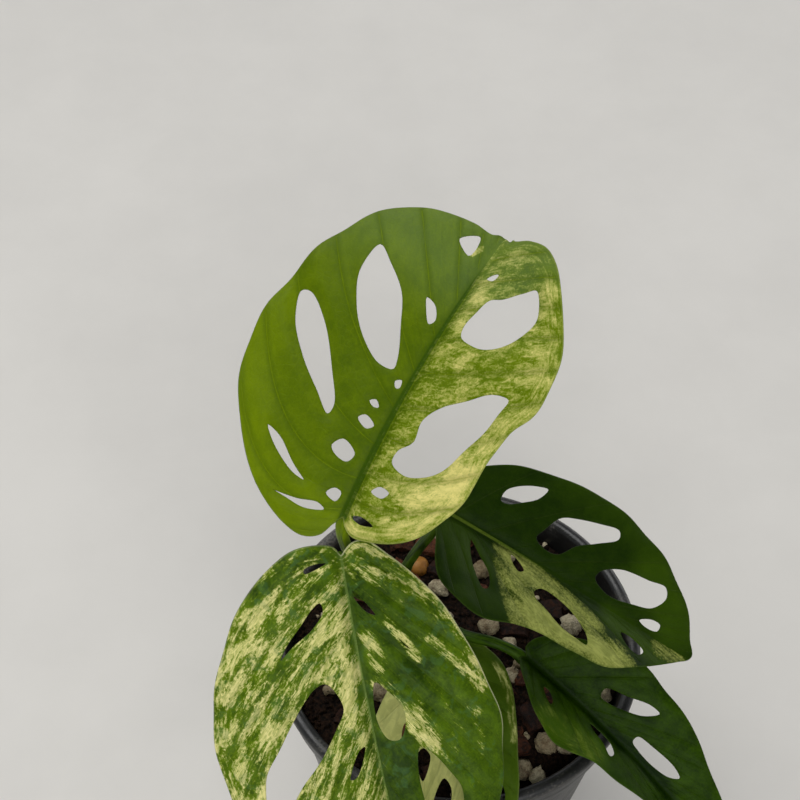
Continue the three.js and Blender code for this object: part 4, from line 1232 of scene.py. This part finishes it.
def make_pot(settings):
    """The thin nursery pot, with its foot ring, band, rolled lip and drain holes."""
    points, faces = turned(pot_profile(), settings.segments)
    piece = make_piece("pot_shell", points, faces, [pot_material(settings)])
    low, high = DRILL_SPAN
    drill_profile = [(0, low), (DRAIN_HOLE_RADIUS, low), (DRAIN_HOLE_RADIUS, high), (0, high)]
    cut, cut_faces = turned(drill_profile, DRILL_SIDES)
    drill_points, drill_faces = [], []
    for k in range(DRAIN_HOLES):
        turn = 2 * math.pi * (k + 0.5) / DRAIN_HOLES
        cx, cy = DRAIN_CIRCLE_RADIUS * math.cos(turn), DRAIN_CIRCLE_RADIUS * math.sin(turn)
        drill_faces += [tuple(i + len(drill_points) for i in face) for face in cut_faces]
        drill_points += [(x + cx, y + cy, z) for x, y, z in cut]
    drill = make_piece("drain_drill", drill_points, drill_faces, [])
    cutter = piece.modifiers.new("drain_holes", "BOOLEAN")
    cutter.operation, cutter.solver, cutter.object = "DIFFERENCE", "EXACT", drill
    bake_modifiers(piece)
    bpy.data.objects.remove(drill)
    shade(piece, True)
    piece.data.set_sharp_from_angle(angle=math.radians(38))
    hand_over(piece, "pot")


def bake_modifiers(piece):
    """Replaces the piece's mesh with its evaluated one, and drops the modifiers."""
    graph = bpy.context.evaluated_depsgraph_get()
    mesh = bpy.data.meshes.new_from_object(piece.evaluated_get(graph))
    before = piece.data
    piece.modifiers.clear()
    piece.data = mesh
    mesh.name = piece.name
    bpy.data.meshes.remove(before)


# Soil


def soil_height(x, y):
    """The soil's broad humps, at x and y in millimetres."""
    return SOIL_TOP + 0.8 * np.sin(0.21 * x + 1) * np.cos(0.17 * y) + 0.5 * np.sin(0.4 * y)


def make_random(seed):
    """The same even random numbers as the solids' lumps were placed with."""
    factor, added, size = 1664525, 1013904223, 2 ** 32
    state = seed
    while True:
        state = (state * factor + added) % size
        yield state / size


def lump_list():
    """Every lump's place, half size and kind: the ones seen in the photo, then random ones between."""
    spread, most_tries, closest = 38.5, 4000, 0.8
    random = make_random(SOIL_SEED)
    lumps = [list(lump) for lump in PLACED_LUMPS]
    for kind, count, least, most in (("bark", BARK_COUNT, 2.6, 4.2), ("perlite", PERLITE_COUNT, 1.6, 2.6)):
        added = tries = 0
        while added < count and tries < most_tries:
            tries += 1
            radius, angle = spread * math.sqrt(next(random)), 2 * math.pi * next(random)
            x, y = radius * math.cos(angle), radius * math.sin(angle)
            size = least + (most - least) * next(random)
            if all(math.hypot(px - x, py - y) > closest * (ps + size) for px, py, ps, _ in lumps):
                lumps.append([x, y, size, kind])
                added += 1
    for lump in lumps:
        stretch, tilt = (0.15, 0.7) if lump[3] == "bark" else (0.3, math.pi)
        scale = [1 + stretch * (next(random) - 0.5) for _ in range(2)] + [0.85]
        turn = [tilt * (next(random) - 0.5) for _ in range(2)] + [2 * math.pi * next(random)]
        lump += [scale, turn]
    return lumps


def make_bed(material):
    """The soil's body: a lumpy top, and plain sides and floor inside the pot."""
    low_radius, high_radius = (
        wall_outer_at(z) - POT_WALL - SOIL_CLEARANCE for z in (POT_FLOOR, SOIL_TOP))
    rim, floor = high_radius - 0.4, POT_FLOOR + SOIL_CLEARANCE
    rings, segments = 56, 180
    angle = 2 * np.pi * np.arange(segments) / segments
    radius = rim * (np.arange(1, rings + 1) / rings) ** 0.8
    x = (radius[:, None] * np.cos(angle)).ravel()
    y = (radius[:, None] * np.sin(angle)).ravel()
    far = np.repeat(radius, segments) / rim
    rough = 0.5 * np.sin(1.7 * x + 0.6 * y) * np.sin(1.3 * y - 0.8 * x)
    rough = rough + 0.3 * np.sin(3.1 * x) * np.cos(2.7 * y)
    z = soil_height(x, y) + 0.5 * rough - 0.6 - 1.2 * smooth_step(far, 0.9, 1.0)
    middle = [[0, 0, float(soil_height(0, 0)) - 0.6]]
    low = np.stack([low_radius * np.cos(angle), low_radius * np.sin(angle), np.full(segments, floor)], 1)
    points = np.vstack([middle, np.stack([x, y, z], 1), low, [[0, 0, floor]]])
    faces = [(face[0], *face[:0:-1]) for face in ring_faces(rings + 1, segments)]
    piece = make_piece("soil_bed", points, faces, [material])
    hand_over(piece, "soil")


def geometry_tree(name, **inputs):
    """A geometry node tree with named inputs, and the sockets that give their values."""
    group = bpy.data.node_groups.new(name, "GeometryNodeTree")
    for label, kind in {"Geometry": "Geometry", **inputs, "Finish": "Material"}.items():
        group.interface.new_socket(label, in_out="INPUT", socket_type="NodeSocket" + kind)
    group.interface.new_socket("Geometry", in_out="OUTPUT", socket_type="NodeSocketGeometry")
    t = Tree(group)
    outputs = t.node("NodeGroupInput").output.node.outputs
    return t, {socket.name: Socket(t, socket) for socket in outputs if socket.name}


def lumps_tree(name, box):
    """A node tree that sets one uneven lump on every point, turned and scaled by the point's values."""
    t, source = geometry_tree(name, Unevenness="Float", Grain="Float")
    if box:
        counts = {"Vertices X": 9, "Vertices Y": 7, "Vertices Z": 5}
        lump = t.node("GeometryNodeMeshCube", None, {"Size": (2, 2, 2), **counts})
    else:
        lump = t.node("GeometryNodeMeshIcoSphere", None, {"Radius": 1.0, "Subdivisions": 3})
    turn, size = (
        t.node("GeometryNodeInputNamedAttribute", {"data_type": "FLOAT_VECTOR"}, {"Name": key})
        for key in ("turn", "size"))
    spun = t.node("FunctionNodeEulerToRotation", None, (turn,))
    return finish_lumps(t, source, source["Geometry"], lump, spun, size)


def finish_lumps(t, source, points, lump, turn, size):
    """Sets the lump on the points, pushes its surface in and out by noise, and sets the finish."""
    placed = t.node("GeometryNodeInstanceOnPoints", None,
                    {"Points": points, "Instance": lump, "Rotation": turn, "Scale": size})
    real = t.node("GeometryNodeRealizeInstances", None, (placed,))
    place = t.node("GeometryNodeInputPosition")
    noise = {"Vector": place, "Scale": source["Grain"], "Detail": 2.0}
    wave = t.node("ShaderNodeTexNoise", None, noise, out="Color")
    push = t.node("ShaderNodeVectorMath", {"operation": "SUBTRACT"}, (wave, (0.5, 0.5, 0.5)))
    push = t.node("ShaderNodeVectorMath", {"operation": "SCALE"},
                  {"Vector": push, "Scale": source["Unevenness"]})
    moved = t.node("GeometryNodeSetPosition", None, {"Geometry": real, "Offset": push})
    finished = t.node("GeometryNodeSetMaterial", None, {"Geometry": moved, "Material": source["Finish"]})
    t.node("NodeGroupOutput", None, (finished,))
    return t.node_tree


def crumbs_tree(name):
    """A node tree that strews small lumps over a surface, where it faces up."""
    t, source = geometry_tree(
        name, Density="Float", Least="Float", Most="Float", Flatness="Float", Unevenness="Float",
        Grain="Float", Facets="Int", Seed="Int")
    normal = t.node("GeometryNodeInputNormal", out="True Normal")
    height = t.node("ShaderNodeSeparateXYZ", None, (normal,), out=2)
    upward = t.node("FunctionNodeCompare", {"operation": "GREATER_THAN"}, {0: height, 1: 0.5})
    strewn = t.node("GeometryNodeDistributePointsOnFaces", None,
                    {"Mesh": source["Geometry"], "Selection": upward, "Density": source["Density"],
                     "Seed": source["Seed"]})
    lump = t.node("GeometryNodeMeshIcoSphere", None, {"Radius": 1.0, "Subdivisions": source["Facets"]})
    turn = t.node("FunctionNodeRandomValue", {"data_type": "FLOAT_VECTOR"},
                  {"Min": (0, 0, 0), "Max": (6.28, 6.28, 6.28), "Seed": source["Seed"]})
    size = t.node("FunctionNodeRandomValue", {"data_type": "FLOAT"},
                  {2: source["Least"], 3: source["Most"], "Seed": source["Seed"]}, out=1)
    tone = t.node("FunctionNodeRandomValue", {"data_type": "FLOAT"}, {2: 0.0, 3: 1.0, "Seed": 7}, out=1)
    flat_size = size * source["Flatness"]
    shape = t.node("ShaderNodeCombineXYZ", None, (size, flat_size, flat_size))
    toned = t.node("GeometryNodeStoreNamedAttribute", {"data_type": "FLOAT", "domain": "POINT"},
                   {"Geometry": strewn, "Name": "tone", "Value": tone})
    return finish_lumps(t, source, toned, lump, turn, shape)


def grow(piece, tree, smooth=True, **inputs):
    """Runs a geometry node tree on the piece and keeps the result as its plain mesh."""
    modifier = piece.modifiers.new("grow", "NODES")
    modifier.node_group = tree
    keys = {item.name: item.identifier for item in tree.interface.items_tree
            if item.item_type == "SOCKET" and item.in_out == "INPUT"}
    for name, value in inputs.items():
        modifier[keys[name]] = value
    bake_modifiers(piece)
    shade(piece, smooth)


def make_lumps(kind, lumps, tree, material, **inputs):
    """One piece for all lumps of a kind."""
    bark = kind == "bark"
    lift, shape = (-0.05, np.array([1.05, 0.62, 0.4])) if bark else (0.1, np.ones(3))
    points = [(x, y, float(soil_height(x, y)) + lift * size) for x, y, size, *_ in lumps]
    piece = make_piece("soil_" + kind, points, [], [material])
    sizes = np.array([np.array(lump[4]) * shape * lump[2] * MM for lump in lumps])
    turns = np.array([lump[5] for lump in lumps])
    for name, numbers in (("size", sizes), ("turn", turns)):
        attribute = piece.data.attributes.new(name, "FLOAT_VECTOR", "POINT")
        attribute.data.foreach_set("vector", numbers.astype(np.float32).ravel())
    add_values(piece, tone=[(i * 0.618) % 1 for i in range(len(lumps))])
    grow(piece, tree, smooth=not bark, Finish=material, **inputs)
    hand_over(piece, "soil")


def make_crumbs(name, material, **inputs):
    """Small grains strewn over the bed."""
    piece = bpy.data.objects["soil_bed"].copy()
    piece.data = piece.data.copy()
    piece.name = name
    for key in list(piece.keys()):
        del piece[key]
    piece.parent = None
    bpy.context.scene.collection.objects.link(piece)
    grow(piece, crumbs_tree(name + "_tree"), Finish=material, **inputs)
    piece.data.materials.clear()
    piece.data.materials.append(material)
    hand_over(piece, "soil")


# Stage


def make_stage(settings):
    """A pale floor, soft studio light and the camera."""
    radius = settings.floor_size / MM
    segments = 96
    turn = 2 * np.pi * np.arange(segments) / segments
    points = [(radius * math.cos(a), radius * math.sin(a), 0) for a in turn]
    floor = make_piece("floor", points, [tuple(range(segments))], [floor_material(settings)], smooth=False)

    world = bpy.data.worlds.new("studio")
    world.use_nodes = True
    world.node_tree.nodes.clear()
    sky = Tree(world.node_tree)
    direction = sky.node("ShaderNodeTexCoord", out="Generated")
    height = sky.node("ShaderNodeSeparateXYZ", None, (direction,), out=2)
    above, around = settings.sky_strength, settings.horizon_strength
    strength = above + height.fade(0.05, 0.6) * (around - above)
    glow = sky.node("ShaderNodeBackground", None,
                    {"Color": (*settings.sky_colour, 1.0), "Strength": strength})
    sky.node("ShaderNodeOutputWorld", None, (glow,))
    bpy.context.scene.world = world

    for name, (place, size, power) in {
        "key_light": ((-0.5, 0.45, 1.35), 1.2, settings.key_power),
        "fill_light": ((0.1, -1.0, 0.9), 1.0, settings.fill_power),
        "window_light": ((0.66, 0.66, 0.2), 0.7, settings.window_power),
    }.items():
        lamp = bpy.data.lights.new(name, "AREA")
        lamp.shape, lamp.size, lamp.energy = "DISK", size, power
        light = bpy.data.objects.new(name, lamp)
        light.location = place
        aim = Vector((0, 0, 0.12)) - light.location
        light.rotation_mode = "QUATERNION"
        light.rotation_quaternion = aim.to_track_quat("-Z", "Y")
        bpy.context.scene.collection.objects.link(light)

    camera_data = bpy.data.cameras.new("camera")
    camera_data.lens, camera_data.sensor_width = settings.lens, 36
    camera_data.clip_start, camera_data.clip_end = 0.01, 50
    camera = bpy.data.objects.new("camera", camera_data)
    camera.location = settings.camera_place
    camera.rotation_euler = (math.pi / 2 - settings.camera_pitch, 0, 0)
    bpy.context.scene.collection.objects.link(camera)
    bpy.context.scene.camera = camera
    bpy.context.scene.view_settings.view_transform = "Standard"


# Settings

LENGTH = {"unit": "LENGTH", "subtype": "DISTANCE"}
COLOUR = {"subtype": "COLOR", "size": 4, "min": 0, "max": 1}
SHARE = {"subtype": "FACTOR", "min": 0, "max": 1}


class PotSettings(bpy.types.PropertyGroup):
    segments: IntProperty(
        name="Segments", description="Faces round the pot", default=192, min=24, max=512)
    colour: FloatVectorProperty(
        name="Plastic", description="Colour of the pot's plastic", default=colour(21, 21, 20), **COLOUR)
    # The pale colour of the dust, and of the painted highlight on the rim
    dust_and_highlight: FloatVectorProperty(
        name="Dust", description="Colour of the dust on the pot", default=colour(112, 108, 100), **COLOUR)


class SoilSettings(bpy.types.PropertyGroup):
    crumb_density: FloatProperty(
        name="Crumbs", description="Soil crumbs on each square metre", default=360000.0, min=0)
    grit_density: FloatProperty(
        name="Grit", description="Pale grains on each square metre", default=9000.0, min=0)
    seed: IntProperty(name="Seed", description="Which random layout of crumbs", default=5)


class LeafSettings(bpy.types.PropertyGroup):
    spacing: FloatProperty(
        name="Spacing", description="Distance between the points of a blade",
        default=0.62 * MM, min=0.3 * MM, **LENGTH)
    thickness: FloatProperty(
        name="Thickness", description="Thickness of a blade", default=0.5 * MM, min=0.1 * MM, **LENGTH)
    quilt: FloatProperty(
        name="Quilting", description="How far a blade swells between its side veins",
        default=0.42 * MM, **LENGTH)
    vein_depth: FloatProperty(
        name="Vein depth", description="How deep the side veins lie", default=0.2 * MM, **LENGTH)
    ripple: FloatProperty(
        name="Ripple", description="Height of the waves along a blade's margin",
        default=0.35 * MM, **LENGTH)
    roughness: FloatProperty(
        name="Roughness", description="Roughness of the blades", default=0.42, **SHARE)
    gloss: FloatProperty(
        name="Gloss", description="Strength of the blades' reflections", default=0.22, **SHARE)
    translucency: FloatProperty(
        name="Light through", description="Share of the light that passes through a blade",
        default=0.3, **SHARE)


class StageSettings(bpy.types.PropertyGroup):
    floor_size: FloatProperty(name="Floor", description="Radius of the floor", default=4.0, **LENGTH)
    floor_colour: FloatVectorProperty(
        name="Floor colour", description="Colour of the floor", default=colour(213, 210, 204), **COLOUR)
    sky_colour: FloatVectorProperty(
        name="Surroundings", description="Colour of the light all round", subtype="COLOR", size=3,
        min=0, max=1, default=colour(240, 243, 248)[:3])
    sky_strength: FloatProperty(
        name="Light from above", description="Strength of the light from overhead", default=0.22, min=0)
    horizon_strength: FloatProperty(
        name="Light from the sides", description="Strength of the light low all round", default=0.75,
        min=0)
    key_power: FloatProperty(
        name="Key light", description="Power of the soft light behind", default=13.0, unit="POWER")
    fill_power: FloatProperty(
        name="Fill light", description="Power of the soft light in front", default=8.0, unit="POWER")
    window_power: FloatProperty(
        name="Window light", description="Power of the low light behind on the right", default=1.6,
        unit="POWER")
    lens: FloatProperty(
        name="Lens", description="Focal length", default=67.5, unit="CAMERA")
    camera_place: FloatVectorProperty(
        name="Camera place", description="Where the camera stands", subtype="TRANSLATION",
        unit="LENGTH", size=3, default=(-0.0154, -0.2133, 0.4423))
    camera_pitch: FloatProperty(
        name="Camera pitch", description="How far the camera looks down", default=math.radians(50),
        unit="ROTATION", subtype="ANGLE")


class PlantSettings(bpy.types.PropertyGroup):
    pot: PointerProperty(type=PotSettings)
    soil: PointerProperty(type=SoilSettings)
    leaf: PointerProperty(type=LeafSettings)
    stage: PointerProperty(type=StageSettings)


# Operators


class PLANT_OT_pot(bpy.types.Operator):
    """Makes the nursery pot"""

    bl_idname = "plant.pot"
    bl_label = "Pot"

    def execute(self, context):
        make_pot(context.scene.plant.pot)
        return {"FINISHED"}


class PLANT_OT_soil(bpy.types.Operator):
    """Makes the soil's bed, bark chips, perlite, fertiliser bead and crumbs"""

    bl_idname = "plant.soil"
    bl_label = "Soil"

    def execute(self, context):
        settings = context.scene.plant.soil
        bed, bark, perlite = bed_material(), bark_material(), perlite_material()
        make_bed(bed)
        lumps = lump_list()
        chips = lumps_tree("bark_tree", box=True)
        grains = lumps_tree("grain_tree", box=False)
        for kind, tree, material, unevenness, grain in (
            ("bark", chips, bark, 0.0024, 420.0),
            ("perlite", grains, perlite, 0.0042, 330.0),
            ("pebble", grains, pebble_material(), 0.0008, 260.0),
        ):
            chosen = [lump for lump in lumps if lump[3] == kind]
            make_lumps(kind, chosen, tree, material, Unevenness=unevenness, Grain=grain)
        # The crumbs take the bed's near-black finish, which is partly painted shade
        make_crumbs("soil_crumbs", bed, Density=settings.crumb_density, Least=0.0004, Most=0.0013,
                    Flatness=0.6, Unevenness=0.0007, Grain=900.0, Facets=1, Seed=settings.seed)
        make_crumbs("soil_grit", perlite, Density=settings.grit_density, Least=0.0005, Most=0.0011,
                    Flatness=0.85, Unevenness=0.0006, Grain=1200.0, Facets=2, Seed=settings.seed + 1)
        return {"FINISHED"}


class PLANT_OT_stem(bpy.types.Operator):
    """Makes the stem"""

    bl_idname = "plant.stem"
    bl_label = "Stem"

    def execute(self, context):
        make_stem()
        return {"FINISHED"}


class PLANT_OT_leaves(bpy.types.Operator):
    """Makes the five leaves, each with its petiole"""

    bl_idname = "plant.leaves"
    bl_label = "Leaves"

    def execute(self, context):
        for name in LEAVES:
            make_leaf(name, context.scene.plant.leaf)
        return {"FINISHED"}


class PLANT_OT_stage(bpy.types.Operator):
    """Sets up the floor, the lights and the camera"""

    bl_idname = "plant.stage"
    bl_label = "Stage"

    def execute(self, context):
        make_stage(context.scene.plant.stage)
        return {"FINISHED"}


OPERATORS = (PLANT_OT_pot, PLANT_OT_soil, PLANT_OT_stem, PLANT_OT_leaves, PLANT_OT_stage)


class PLANT_PT_panel(bpy.types.Panel):
    bl_idname = "PLANT_PT_panel"
    bl_label = "Potted monstera"
    bl_space_type = "VIEW_3D"
    bl_region_type = "UI"
    bl_category = "Monstera"

    def draw(self, context):
        plant = context.scene.plant
        for operator in OPERATORS:
            self.layout.operator(operator.bl_idname)
        for part in ("pot", "soil", "leaf", "stage"):
            box = self.layout.box()
            box.label(text=part.capitalize())
            group = getattr(plant, part)
            for name in group.bl_rna.properties.keys():
                if name not in ("rna_type", "name"):
                    box.prop(group, name)


CLASSES = (PotSettings, SoilSettings, LeafSettings, StageSettings, PlantSettings, *OPERATORS, PLANT_PT_panel)


def register():
    for cls in CLASSES:
        bpy.utils.register_class(cls)
    bpy.types.Scene.plant = PointerProperty(type=PlantSettings)


def unregister():
    del bpy.types.Scene.plant
    for cls in reversed(CLASSES):
        bpy.utils.unregister_class(cls)


def main():
    register()
    bpy.ops.plant.stage()
    bpy.ops.plant.pot()
    bpy.ops.plant.soil()
    bpy.ops.plant.stem()
    bpy.ops.plant.leaves()


if __name__ == "__main__":
    main()
